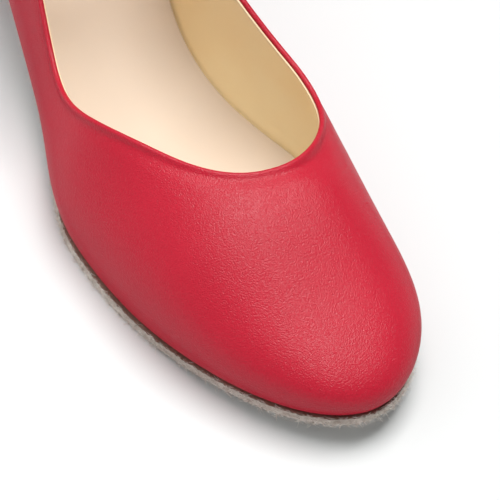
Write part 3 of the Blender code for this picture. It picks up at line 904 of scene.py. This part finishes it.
def make_lining():
    """Lining from its cut edge at the topline down to the insole."""
    wall = Wall(LINING_RINGS)
    outer = ROLL_THICKNESS + LINING_GAP
    inner = ROLL_THICKNESS + LINING_THICKNESS
    plain = inner - LINING_STEP
    # Distances down the wall and in from it: the cut edge, then the end of the band
    edge = [(LINING_TOP + 1.6, outer), (LINING_TOP + 0.25, outer),
            (LINING_TOP + 0.08, outer + 0.1), (LINING_TOP, outer + 0.25),
            (LINING_TOP + 0.06, inner - 0.08), (LINING_TOP + 0.22, inner),
            (LINING_TOP + 1.0, inner), (LINING_BAND, inner),
            (LINING_BAND + 0.12, plain), (LINING_BAND + 0.8, plain)]
    down, inward = np.transpose(edge)
    rows = []
    for index, total in enumerate(wall.tops):
        bottom = total - LINING_FOOT
        far = np.linspace(down[-1], bottom, LINING_ROWS + 1)[1:]
        depths = np.concatenate([down, far])
        levels = np.concatenate([inward, np.full(len(far), plain)])
        levels = levels + LINING_FLARE * ease(1 - (bottom - depths) / LINING_FLARE_HEIGHT)
        here, normal, _ = wall.at(index, total - depths)
        side = here - normal * levels[:, None]
        under = turned_in(side[-1], normal[-1], LINING_TURN, LINING_DROP)
        rows.append(np.concatenate([side, [under]]))
    columns = len(rows[0])
    faces = grid_faces(len(rows), columns, wrap=True)
    face_materials = [int(k < len(edge) - 2) for k in range(columns - 1)] * len(rows)
    materials = [lining_leather(), lining_edge()]
    place(mesh_piece("lining", rows, faces, materials, face_materials), "pale_leather")


def plate(name, rim, height, across, materials, split=None):
    """A thin full-length piece.

    rim lists (margin function, share of the thickness from bottom to top) round the
    edge, from the underside to the top; height(t, share, spread) is the level. From
    row split of the rim up, and on top, the second material is used.
    """
    loops = []
    for margin, share in rim:
        sides = []
        for side in (LATERAL, MEDIAL):
            plan = outline_points(side, SOLE_STATIONS, margin)
            t = np.clip(place_of(plan[:, 0]), 0, 1)
            sides.append(np.concatenate([plan, height(t, share, 1.0)[:, None]], 1))
        loops.append(np.concatenate([sides[0], sides[1][-2:0:-1]]))
    count = len(loops[0])
    points = [np.reshape(np.stack(loops, 1), (-1, 3))]
    faces = grid_faces(count, len(rim), wrap=True)
    dressed = split is not None
    face_materials = [int(dressed and k >= split) for k in range(len(rim) - 1)] * count
    start = count * len(rim)
    heel = SOLE_STATIONS - 1
    spread = np.linspace(-1, 1, across)
    weight = ((1 + spread) / 2)[None, :, None]
    for loop, share in ((loops[0], rim[0][1]), (loops[-1], rim[-1][1])):
        lateral = loop[:heel + 1]
        medial = np.concatenate([loop[:1], loop[:heel:-1], loop[heel:heel + 1]])
        cap = lateral[:, None] * (1 - weight) + medial[:, None] * weight
        t = np.clip(place_of(cap[..., 0]), 0, 1)
        cap[..., 2] = height(t, share, np.abs(spread)[None])
        points.append(cap.reshape(-1, 3))
        caps = grid_faces(SOLE_STATIONS, across, start=start)
        faces += caps
        face_materials += [int(dressed and share > 0.5)] * len(caps)
        start += SOLE_STATIONS * across
    return mesh_piece(name, np.concatenate(points), faces, materials, face_materials)


def make_insole():
    """Padded sock, a little hollow along its middle, with a rounded edge."""
    def inset(extra):
        return lambda t: np.full_like(t, -(WALL + INSOLE_SIDE_GAP + extra))

    def height(t, share, spread):
        hollow = SOCK_HOLLOW * (1 - spread ** 2) * ease(half_width(t) / SOCK_HOLLOW_FADE)
        return bed(t) + INSOLE_THICKNESS * share - hollow * (share > 0.5)

    rim = [(inset(extra), share) for extra, share in SOCK_EDGE]
    insole = plate("insole_sock", rim, height, SOCK_ACROSS, [sock_leather()])
    place(insole, "pale_leather", "insole")


def outsole_top(t):
    return bed(t) - SEAM_GAP


def outsole_bottom(t):
    return outsole_top(t) - OUTSOLE_THICKNESS


def sole_flare(t):
    """How far the brushed edge spreads: widely at the forepart, hardly at the heel."""
    forepart = ease((t - FLARE_START) / FLARE_RISE)
    return SOLE_FLARE * (HEEL_FLARE + (1 - HEEL_FLARE) * forepart)


def make_outsole():
    """Brushed sole: a dark line under the upper, then the pale nap."""
    rng = np.random.default_rng(FIBRE_SEED)

    def margin(flare, ragged, under):
        return lambda t: (sole_margin(t) + flare * sole_flare(t) - under
                          + rng.normal(0, ragged * SOLE_RAGGED, len(t)))

    def height(t, share, spread):
        return outsole_bottom(t) + OUTSOLE_THICKNESS * share

    rim = [(margin(*row), share) for *row, share in SOLE_EDGE]
    nap = suede("suede_nap", (0.50, 0.44, 0.385), (0.97, 0.92, 0.86), 0.35)
    # The second material is dark brown, for a band along the top of the edge and over the top.
    cut = suede("sole_dark_band", (0.17, 0.095, 0.07), (0.36, 0.235, 0.18), 0.15)
    outsole = plate("sole_suede", rim, height, SOLE_ACROSS, [nap, cut], DARK_BAND_ROW)
    place(outsole, "suede", "outsole")


def make_fibres():
    """Loose fibres of the sole's brushed edge, as one mesh of thin ribbons."""
    rng = np.random.default_rng(FIBRE_SEED)
    points = []
    faces = []
    steps = np.linspace(0, 1, 5)[:, None]
    sides = {}
    for side in (LATERAL, MEDIAL):
        plan = outline_points(side, SOLE_STATIONS, sole_margin)
        sides[side] = plan, outward(plan, side), lengths_along(plan)
    for _ in range(FIBRES):
        plan, normals, lengths = sides[LATERAL if rng.random() < 0.5 else MEDIAL]
        where = rng.random() * lengths[-1]
        x, y = points_at(plan, lengths, [where])[0]
        out = np.append(unit(points_at(normals, lengths, [where])[0]), 0.0)
        along = np.array([-out[1], out[0], 0.0]) * rng.choice([-1, 1])
        rise = rng.random() ** FIBRE_CROWDING
        t = np.clip(place_of(x), 0, 1)
        base = np.array([x, y, outsole_bottom(t) + rise * OUTSOLE_THICKNESS])
        base = base + out * (sole_flare(t) * (1 - rise / FLARE_TOP) - FIBRE_SUNK)
        length = rng.uniform(*FIBRE_LENGTH)
        lift = np.array([0, 0, rng.normal(0.0, FIBRE_LIFT)])
        stray = rng.random() ** 3
        heading = unit(along * (1.0 - STRAY_ALONG * stray)
                       + out * (FIBRE_OUT + STRAY_OUT * stray) + lift)
        curl = rng.normal(0, FIBRE_CURL, 3)
        path = (base + heading * length * steps + curl * length * FIBRE_SWAY * steps ** 2
                + out * FIBRE_ARCH * np.sin(np.pi * steps))
        path[:, 2] = np.maximum(path[:, 2], FIBRE_CLEARANCE)
        width = FIBRE_WIDTH * rng.uniform(*FIBRE_WIDTHS)
        across = unit(np.cross(heading, rng.normal(0, 1, 3)))
        half = across * width / 2 * (1 - FIBRE_TAPER * steps)
        faces += grid_faces(len(steps), 2, start=len(points))
        points.extend(np.stack([path - half, path + half], 1).reshape(-1, 3))
    fibres = mesh_piece("sole_fibres", points, faces, [fibre_material()])
    place(fibres, "suede")


def heel_outline(share, level, inset=0.0):
    """One closed outline of the block at a share of its height from the top."""
    back_in, breast_in, side_in = [Curve(HEEL_PROFILE, k, HEEL_LIFT)(share) for k in (1, 2, 3)]
    # The stations crowd towards the round back.
    stations = np.linspace(0, 1, HEEL_STATIONS) ** HEEL_CROWDING
    t = BREAST * stations
    x = x_of(0) + back_in + (x_of(BREAST) - x_of(0) - back_in - breast_in) * stations
    half = (half_width(t) + sole_margin(t)) * (1 - side_in / half_width(HEEL_ROUND))
    across = np.linspace(-1, 1, BREAST_STEPS)[1:-1]
    breast_x = x[-1] - BREAST_HOLLOW * (1 - across ** 2)
    lateral = np.stack([x, centre_y(t) - half], 1)
    medial = np.stack([x, centre_y(t) + half], 1)[::-1]
    breast = np.stack([breast_x, centre_y(BREAST) + half[-1] * across], 1)
    closed = np.concatenate([lateral, breast, medial])
    lengths = lengths_along(closed)
    places = np.arange(HEEL_COUNT) / HEEL_COUNT * lengths[-1]
    eased = np.mean([points_at(closed, lengths, (places + step) % lengths[-1])
                     for step in np.linspace(-HEEL_EASE, HEEL_EASE, 9)], axis=0)
    around = np.roll(eased, -1, axis=0) - np.roll(eased, 1, axis=0)
    normal = unit(np.stack([around[:, 1], -around[:, 0]], 1))
    eased = eased - normal * inset
    z = level(np.clip(place_of(eased[:, 0]), 0, BREAST), share)
    return np.concatenate([eased, z[:, None]], 1)


def block(name, loops, materials):
    """A closed body from outlines, with flat fans over its ends."""
    count = len(loops[0])
    points = list(np.reshape(loops, (-1, 3)))
    faces = grid_faces(len(loops), count, closed=True)
    for start in (0, (len(loops) - 1) * count):
        middle = len(points)
        points.append(np.mean(points[start:start + count], axis=0))
        faces += [(start + k, start + (k + 1) % count, middle) for k in range(count)]
    return mesh_piece(name, points, faces, materials)


def make_heel():
    """Covered block with its edges turned softly over."""
    def level(t, share):
        top = outsole_bottom(t) - SEAM_GAP
        return top * (1 - share) + (TOP_PIECE_THICKNESS + SEAM_GAP) * share

    turns = np.sin(np.linspace(0, np.pi / 2, 5))
    upper_edge, lower_edge = HEEL_EDGES
    rows = [(upper_edge * turn, HEEL_TURN * (1 - turn)) for turn in turns]
    rows += [(share, 0.0) for share in np.linspace(*HEEL_SIDE, HEEL_RINGS)]
    rows += [(1 - lower_edge * turn, HEEL_TURN * (1 - turn)) for turn in turns[::-1]]
    loops = [heel_outline(share, level, inset) for share, inset in rows]
    place(block("heel_cover", loops, [RED]), "red_leather", "heel")


def make_top_piece():
    loops = []
    for z, inset in TOP_PIECE_EDGE:
        loops.append(heel_outline(1.0, lambda t, share, z=z: np.full_like(t, z), inset))
    place(block("heel_rubber_piece", loops, [heel_rubber()]), "heel_rubber", "heel_top_piece")


class StrapLine:
    """Places on and above the instep, round the section under the strap.

    The section's plane leans to the toe, square to the foot. s is the length up
    from the lateral topline and over to the medial side, w is the place across
    the strap towards the toe, and d is the height off the last.
    """

    def __init__(self):
        lean = np.radians(STRAP_LEAN)
        self.up = np.array([np.sin(lean), 0, np.cos(lean)])
        self.across = np.array([np.cos(lean), 0, -np.sin(lean)])
        collar = collar_height[LATERAL](STRAP_PLACE)
        self.base = np.array([x_of(STRAP_PLACE), 0, bed(STRAP_PLACE) + collar])
        self.base = self.base - self.up * collar / self.up[2]
        line, lengths, apex = self.trace(0.0)
        here = self.base + line[:, 1:] * self.up
        above = here[:, 2] - bed(place_of(here[:, 0]))
        half = np.argmax(line[:, 1])
        t = place_of(here[:, 0])
        low = np.interp(0, (above - collar_height[LATERAL](t))[:half], lengths[:half])
        high = np.interp(0, (collar_height[MEDIAL](t) - above)[half:], lengths[half:])
        self.apex = apex - low
        self.arch = high - low
        # The table reaches past both ends and both edges of the strap.
        self.places = np.linspace(-SECTION_MARGIN, self.arch + SECTION_MARGIN, SECTION_STEPS)
        self.widths = np.linspace(-SECTION_HALF_WIDTH, SECTION_HALF_WIDTH, SECTION_COLUMNS)
        self.table = np.array([self.section(w) for w in self.widths])

    def trace(self, w):
        """Section at w as (y, height in the plane), its lengths and its apex."""
        share = -np.cos(np.linspace(0, np.pi, SECTION_STEPS))
        start = self.base + w * self.across

        def below(h):
            t = place_of(start[0] + h * self.up[0])
            top = ridge_height(t) * (1 - np.abs(share) ** SECTION_SIDE) ** (1 / SECTION_TOP)
            return start[2] + h * self.up[2] < bed(t) + top

        h = turning_point(np.zeros(len(share)), np.full(len(share), 2 * INSTEP_HEIGHT), below)
        t = place_of(start[0] + h * self.up[0])
        edge = np.where(share < 0, edge_y(t, LATERAL), edge_y(t, MEDIAL))
        line = np.stack([ridge_y(t) + np.abs(share) * (edge - ridge_y(t)), h], 1)
        lengths = lengths_along(line)
        return line, lengths, lengths[np.argmax(h)]

    def section(self, w):
        """Rows of y, height and the two parts of the normal along the section."""
        line, lengths, apex = self.trace(w)
        lengths = lengths + self.apex - apex
        here = points_at(line, lengths, self.places)
        along = unit(points_at(line, lengths, self.places + 0.5)
                     - points_at(line, lengths, self.places - 0.5))
        return np.stack([here[:, 0], here[:, 1], -along[:, 1], along[:, 0]], 1)

    def point(self, s, w, d):
        """Points for arrays of places along, across and off the last."""
        s, w, d = np.broadcast_arrays(*[np.asarray(value, float) for value in (s, w, d)])
        i, along = self.cell(s, self.places)
        k, aside = self.cell(w, self.widths)
        near = self.table[k, i] * (1 - along) + self.table[k, i + 1] * along
        far = self.table[k + 1, i] * (1 - along) + self.table[k + 1, i + 1] * along
        value = near * (1 - aside) + far * aside
        h = value[..., 1] + value[..., 3] * d
        point = self.base + w[..., None] * self.across + h[..., None] * self.up
        point[..., 1] += value[..., 0] + value[..., 2] * d
        return point

    @staticmethod
    def cell(wanted, steps):
        """The even steps that the wanted places follow, and their share past them."""
        index = np.clip((wanted - steps[0]) / (steps[1] - steps[0]), 0, len(steps) - 1.001)
        whole = index.astype(int)
        return whole, (index - whole)[..., None]


def strap_under(line, s):
    """Height of the strap's underside at places along it, with its corners eased."""
    bar = BAR_ABOVE_COLLAR
    over_bar = BAR_HEIGHT + BUCKLE_WIRE / 2 + PRONG_WIRE + 2 * SEAM_GAP + BUCKLE_PADDING
    on_foot = -STRAP_THICKNESS
    inside = -(WALL + STRAP_THICKNESS + INSIDE_GAP)
    far_side = bar + BUCKLE_REACH
    rows = [(-STRAP_TAIL, TAIL_RISE), (0.0, COLLAR_RISE), (bar - KEEPER_TO_BAR, KEEPER_RISE),
            (bar - LEVEL_BEFORE_BAR, over_bar), (bar + LEVEL_AFTER_BAR, over_bar),
            (far_side, BUCKLE_RISE), (far_side + SETTLE_LENGTH, on_foot),
            (line.arch - DIVE_START, on_foot), (line.arch - DIVE_END, inside),
            (line.arch + STRAP_INSIDE, inside)]
    places, levels = zip(*rows)
    window = np.linspace(-LEVEL_EASE, LEVEL_EASE, 11)
    return np.mean([np.interp(s + shift, places, levels) for shift in window], axis=0)


def round_bar(radius, start, end, steps):
    """Places (s, d) round the buckle's bar."""
    turns = np.linspace(start, end, steps)
    return list(zip(BAR_ABOVE_COLLAR + radius * np.cos(turns),
                    BAR_HEIGHT + radius * np.sin(turns)))


def frame_side(line):
    """Height of the buckle's upper side, which lies on the strap."""
    under = strap_under(line, BAR_ABOVE_COLLAR + BUCKLE_REACH)
    return under + STRAP_THICKNESS + SEAM_GAP + BUCKLE_WIRE / 2 + BUCKLE_PADDING


def folded_section(half, thickness):
    """Points (w, d) round a folded strap's section, which is thickest in its middle."""
    round_points = rounded_corners(half, thickness / 2, thickness / 2 * FOLD_ROUNDING, 4)
    ring = [point[:2] for point in round_points]
    crown = [(share * half, thickness / 2 + CROWN * (1 - (share / CROWN_REACH) ** 2))
             for share in CROWN_PLACES]
    under = [(-w, -d) for w, d in crown]
    return np.array(ring[:4] + crown + ring[4:12] + under + ring[12:])


def leather_band(name, line, path, widths, thickness):
    """A folded strap whose middle follows a path of (s, d)."""
    path = np.asarray(path, float)
    along = unit(np.gradient(path, axis=0))
    rings = []
    for (s, d), (ds, dd), half in zip(path, along, widths):
        w, off = folded_section(max(half, NARROWEST_HALF), thickness).T
        rings.append(line.point(s - dd * off, w, d + ds * off))
    count = len(rings[0])
    faces = grid_faces(len(rings), count, closed=True)
    faces.append(tuple(range(count)))
    faces.append(tuple(range((len(rings) - 1) * count, len(rings) * count)))
    return mesh_piece(name, rings, faces, [RED])


def carve(piece, cutters):
    """Cut shapes out of a piece, and remove them."""
    for cutter in cutters:
        modifier = piece.modifiers.new("cut", "BOOLEAN")
        modifier.operation = "DIFFERENCE"
        modifier.solver = "EXACT"
        modifier.object = cutter
    mesh = settled_mesh(piece)
    piece.modifiers.clear()
    piece.data = mesh
    for cutter in cutters:
        bpy.data.objects.remove(cutter)


def hole_cutter(line, start, end, width):
    """A punch through the strap, round at its ends about two places along it."""
    turns = np.linspace(0, 2 * np.pi, 33)[:-1]
    reach = (end - start) / 2
    s = (start + end) / 2 + np.sign(np.cos(turns)) * reach + width / 2 * np.cos(turns)
    w = width / 2 * np.sin(turns)
    return block("cutter", [line.point(s, w, d) for d in (-CUT_REACH, CUT_REACH)], [RED])


def slot_cutter(line, slot):
    """A punch for the prong's slot, given by its ends past the buckle's bar."""
    start, end = [BAR_ABOVE_COLLAR + place for place in slot]
    return hole_cutter(line, start + HOLE_WIDTH / 2, end - HOLE_WIDTH / 2, HOLE_WIDTH)


def stitch_rows(line, stitches):
    """Points and faces of stitches that start at places (s, w) and lie at a height."""
    steps = np.linspace(0, 1, 6)
    turns = np.linspace(0, 2 * np.pi, 7)[:-1]
    points = []
    faces = []
    for s, w, height in stitches:
        faces += grid_faces(len(steps), len(turns), closed=True, start=len(points))
        for step in steps:
            swelling = np.sin(np.pi * step)
            size = STITCH_WIDTH / 2 * (1 - STITCH_TAPER * (1 - swelling))
            middle = height + STITCH_LIFT * swelling - STITCH_SUNK
            points.extend(line.point(s + STITCH_LENGTH * step, w + size * np.cos(turns),
                                     middle + size * np.sin(turns)))
    return points, faces


def make_strap(line):
    """Folded instep strap with a stitched edge, punched holes and a rounded tail."""
    s = np.linspace(-STRAP_TAIL, line.arch + STRAP_INSIDE, STRAP_RINGS)
    d = strap_under(line, s) + STRAP_THICKNESS / 2
    widths = STRAP_WIDTH / 2 * closing(1 - (s + STRAP_TAIL) / TIP_LENGTH, TIP_ROUNDNESS)
    strap = leather_band("strap_leather", line, np.stack([s, d], 1), widths,
                         STRAP_THICKNESS - FOLD_ROOM)
    carve(strap, [slot_cutter(line, STRAP_SLOT)]
          + [hole_cutter(line, hole, hole, SPARE_HOLE_WIDTH) for hole in SPARE_HOLES])
    place(strap, "red_leather", "strap")
    first = FIRST_STITCH - STRAP_TAIL
    edge = STRAP_WIDTH / 2 - STITCH_INSET
    stitches = []
    for k in range(int((line.arch - LAST_STITCH - first) / STITCH_PITCH)):
        here = first + k * STITCH_PITCH
        level = np.interp(here + STITCH_LENGTH / 2, s, d) + STRAP_THICKNESS / 2
        stitches += [(here, -edge, level), (here, edge, level)]
    points, faces = stitch_rows(line, stitches)
    place(mesh_piece("strap_stitches", points, faces, [THREAD]), "red_leather")


def make_buckle_tab(line):
    """Short tab from inside the lateral quarter, folded round the buckle's bar."""
    bar = BAR_ABOVE_COLLAR
    radius = BUCKLE_WIRE / 2 + 1.5 * SEAM_GAP + TAB_THICKNESS / 2
    inside = -(WALL + INSIDE_GAP + TAB_THICKNESS / 2)
    path = [(s, inside) for s in np.linspace(-TAB_INSIDE, bar * TAB_START, 6)]
    path += [(bar * along, inside * depth) for along, depth in TAB_PATH]
    path += round_bar(radius, np.pi / 2, -np.pi / 2, 13)
    path = np.array(path + [(bar - TAB_RETURN, BAR_HEIGHT - radius)])
    lengths = lengths_along(path)
    fine = points_at(path, lengths, np.linspace(0, lengths[-1], TAB_RINGS))
    widths = np.full(len(fine), TAB_WIDTH / 2)
    tab = leather_band("tab_leather", line, fine, widths, TAB_THICKNESS)
    carve(tab, [slot_cutter(line, TAB_SLOT)])
    place(tab, "red_leather", "buckle_tab")


def make_wire(name, points, thickness, tapers=None, cyclic=False):
    """A round wire through points in mm, as a mesh."""
    data = bpy.data.curves.new(name, "CURVE")
    data.dimensions = "3D"
    data.bevel_depth = thickness / 2 * MM
    data.bevel_resolution = 6
    data.use_fill_caps = not cyclic
    spline = data.splines.new("POLY")
    spline.points.add(len(points) - 1)
    for index, point in enumerate(points):
        target = spline.points[index]
        target.co = (*((np.array(point) + SHIFT) * MM), 1)
        target.radius = 1.0 if tapers is None else tapers[index]
    spline.use_cyclic_u = cyclic
    shape = add_object(name + "_curve", data)
    mesh = settled_mesh(shape)
    bpy.data.objects.remove(shape)
    mesh.materials.clear()
    mesh.materials.append(GILT)
    mesh.shade_smooth()
    return add_object(name, mesh)


def make_buckle(line):
    """Rectangular frame: its bar is under the strap and its far side on top."""
    high = frame_side(line)
    middle = BUCKLE_REACH / 2
    half = STRAP_WIDTH / 2 + BUCKLE_SIDE_GAP + BUCKLE_WIRE / 2
    points = []
    for along, w, _ in rounded_corners(middle, half, BUCKLE_CORNER, 10):
        rise = (high - BAR_HEIGHT) * (0.5 + along / BUCKLE_REACH)
        points.append(line.point(BAR_ABOVE_COLLAR + middle + along, w, BAR_HEIGHT + rise))
    place(make_wire("buckle_frame", points, BUCKLE_WIRE, cyclic=True), "gilt_metal", "buckle")


def make_prong(line):
    """Prong: an open loop round the bar, then up through the strap's hole."""
    radius = BUCKLE_WIRE / 2 + SEAM_GAP + PRONG_WIRE / 2
    path = round_bar(radius, 0, -1.5 * np.pi, 37)
    rest = frame_side(line) + radius
    start = BAR_HEIGHT + radius
    for share in np.linspace(PRONG_START, 1, 30):
        past = share * (BUCKLE_REACH + PRONG_OVERHANG)
        height = start + (rest - start) * ease(past / (BUCKLE_REACH - 2))
        path.append((BAR_ABOVE_COLLAR + past, height))
    points = [line.point(s, 0.0, d) for s, d in path]
    tapers = np.ones(len(points))
    tapers[-len(PRONG_TIP):] = PRONG_TIP
    place(make_wire("prong_pin", points, PRONG_WIRE, tapers), "gilt_metal", "buckle_prong")


def make_keeper(line):
    """Leather loop round the strap's tail and the tab."""
    reach = np.linspace(-0.5, 0.5, 3) * KEEPER_WIDTH + KEEPER_PLACE
    top = max(strap_under(line, s) for s in reach) + STRAP_THICKNESS + SEAM_GAP
    bottom = KEEPER_CORNER - (WALL + INSIDE_GAP + TAB_THICKNESS) - SEAM_GAP
    middle = (top + bottom) / 2
    half = KEEPER_THICKNESS / 2
    loop = rounded_corners(STRAP_WIDTH / 2 + SEAM_GAP, (top - bottom) / 2, KEEPER_CORNER, 6)
    section = rounded_corners(KEEPER_WIDTH / 2, half, KEEPER_THICKNESS * KEEPER_ROUNDING, 4)
    rings = []
    for w, d, angle in loop:
        rings.append([line.point(KEEPER_PLACE + along, w + np.cos(angle) * (half + out),
                                 middle + d + np.sin(angle) * (half + out))
                      for along, out, _ in section])
    faces = grid_faces(len(rings), len(section), wrap=True, closed=True)
    place(mesh_piece("keeper_leather", rings, faces, [RED]), "red_leather", "keeper")


def make_floor():
    mesh = bpy.data.meshes.new("floor")
    sides = (-FLOOR_REACH, FLOOR_REACH)
    mesh.from_pydata([(x, y, 0) for x in sides for y in sides], [], [(0, 2, 3, 1)])
    recipe = Recipe("floor_paper")
    recipe.colour(recipe.noise(3.0), 0.3, (0.70, 0.725, 0.74), 0.7, (0.71, 0.735, 0.75))
    recipe.set(Roughness=0.9, Specular_IOR_Level=0.1)
    mesh.materials.append(recipe.material)
    add_object("floor", mesh)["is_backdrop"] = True


def aim(piece, where, target, roll=0.0):
    """Put a light or camera somewhere and turn it to a target."""
    turn = Vector(target - where).to_track_quat("-Z", "Y").to_matrix().to_4x4()
    piece.matrix_world = Matrix.Translation(where) @ turn @ Matrix.Rotation(roll, 4, "Z")


def soft_light(name, direction, distance, size, power, glossy=True):
    """A rectangular softbox in a direction from the forefoot, in metres and watts."""
    target = (np.array(CAMERA_TARGET) + SHIFT) * MM
    where = target + unit(np.array(direction, float)) * distance
    data = bpy.data.lights.new(name, "AREA")
    data.shape = "RECTANGLE"
    data.size, data.size_y = size
    data.energy = power
    data.color = LIGHT_COLOUR
    light = add_object(name, data)
    light.visible_glossy = glossy
    aim(light, where, target)


def make_world():
    world = bpy.data.worlds.new("studio")
    world.use_nodes = True
    tree = world.node_tree
    background = tree.nodes["Background"]
    places = tree.nodes.new("ShaderNodeTexCoord")
    parted = tree.nodes.new("ShaderNodeSeparateXYZ")
    ramp = tree.nodes.new("ShaderNodeValToRGB")
    tree.links.new(places.outputs["Generated"], parted.inputs[0])
    tree.links.new(parted.outputs["Z"], ramp.inputs["Fac"])
    tree.links.new(ramp.outputs["Color"], background.inputs["Color"])
    stops = ramp.color_ramp.elements
    for index, (rising, level) in enumerate(SKY):
        stop = stops[index] if index < 2 else stops.new(rising)
        stop.position = rising
        stop.color = (level, level, level, 1)
    bpy.context.scene.world = world


def make_camera():
    azimuth, elevation, roll = np.radians([CAMERA_AZIMUTH, CAMERA_ELEVATION, CAMERA_ROLL])
    toward = np.array([np.cos(elevation) * np.cos(azimuth), np.cos(elevation) * np.sin(azimuth),
                       np.sin(elevation)])
    target = (np.array(CAMERA_TARGET) + SHIFT) * MM
    data = bpy.data.cameras.new("camera")
    data.sensor_fit = "HORIZONTAL"
    data.sensor_width = CAMERA_SENSOR
    data.lens = CAMERA_LENS
    data.clip_start = 0.01
    camera = add_object("camera", data)
    aim(camera, target + CAMERA_DISTANCE * MM * toward, target, roll)
    bpy.context.scene.camera = camera


make_camera()
make_world()
make_floor()
soft_light("overhead_softbox", (-0.06, 0.11, 1.0), 1.2, (0.60, 0.84), 17.5)
soft_light("side_softbox", (-0.40, -0.9, 1.1), 1.3, (1.6, 1.4), 6.5, glossy=False)
bpy.context.scene.view_settings.view_transform = "Standard"

make_upper()
make_lining()
make_insole()
make_outsole()
make_fibres()
make_heel()
make_top_piece()
strap_line = StrapLine()
make_strap(strap_line)
make_buckle_tab(strap_line)
make_buckle(strap_line)
make_prong(strap_line)
make_keeper(strap_line)

bpy.context.view_layer.update()
bounds = {"cad": cad_bounds, "visual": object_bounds()}
{name: [[float(v) for v in corner] for corner in box] for name, box in bounds.items()}
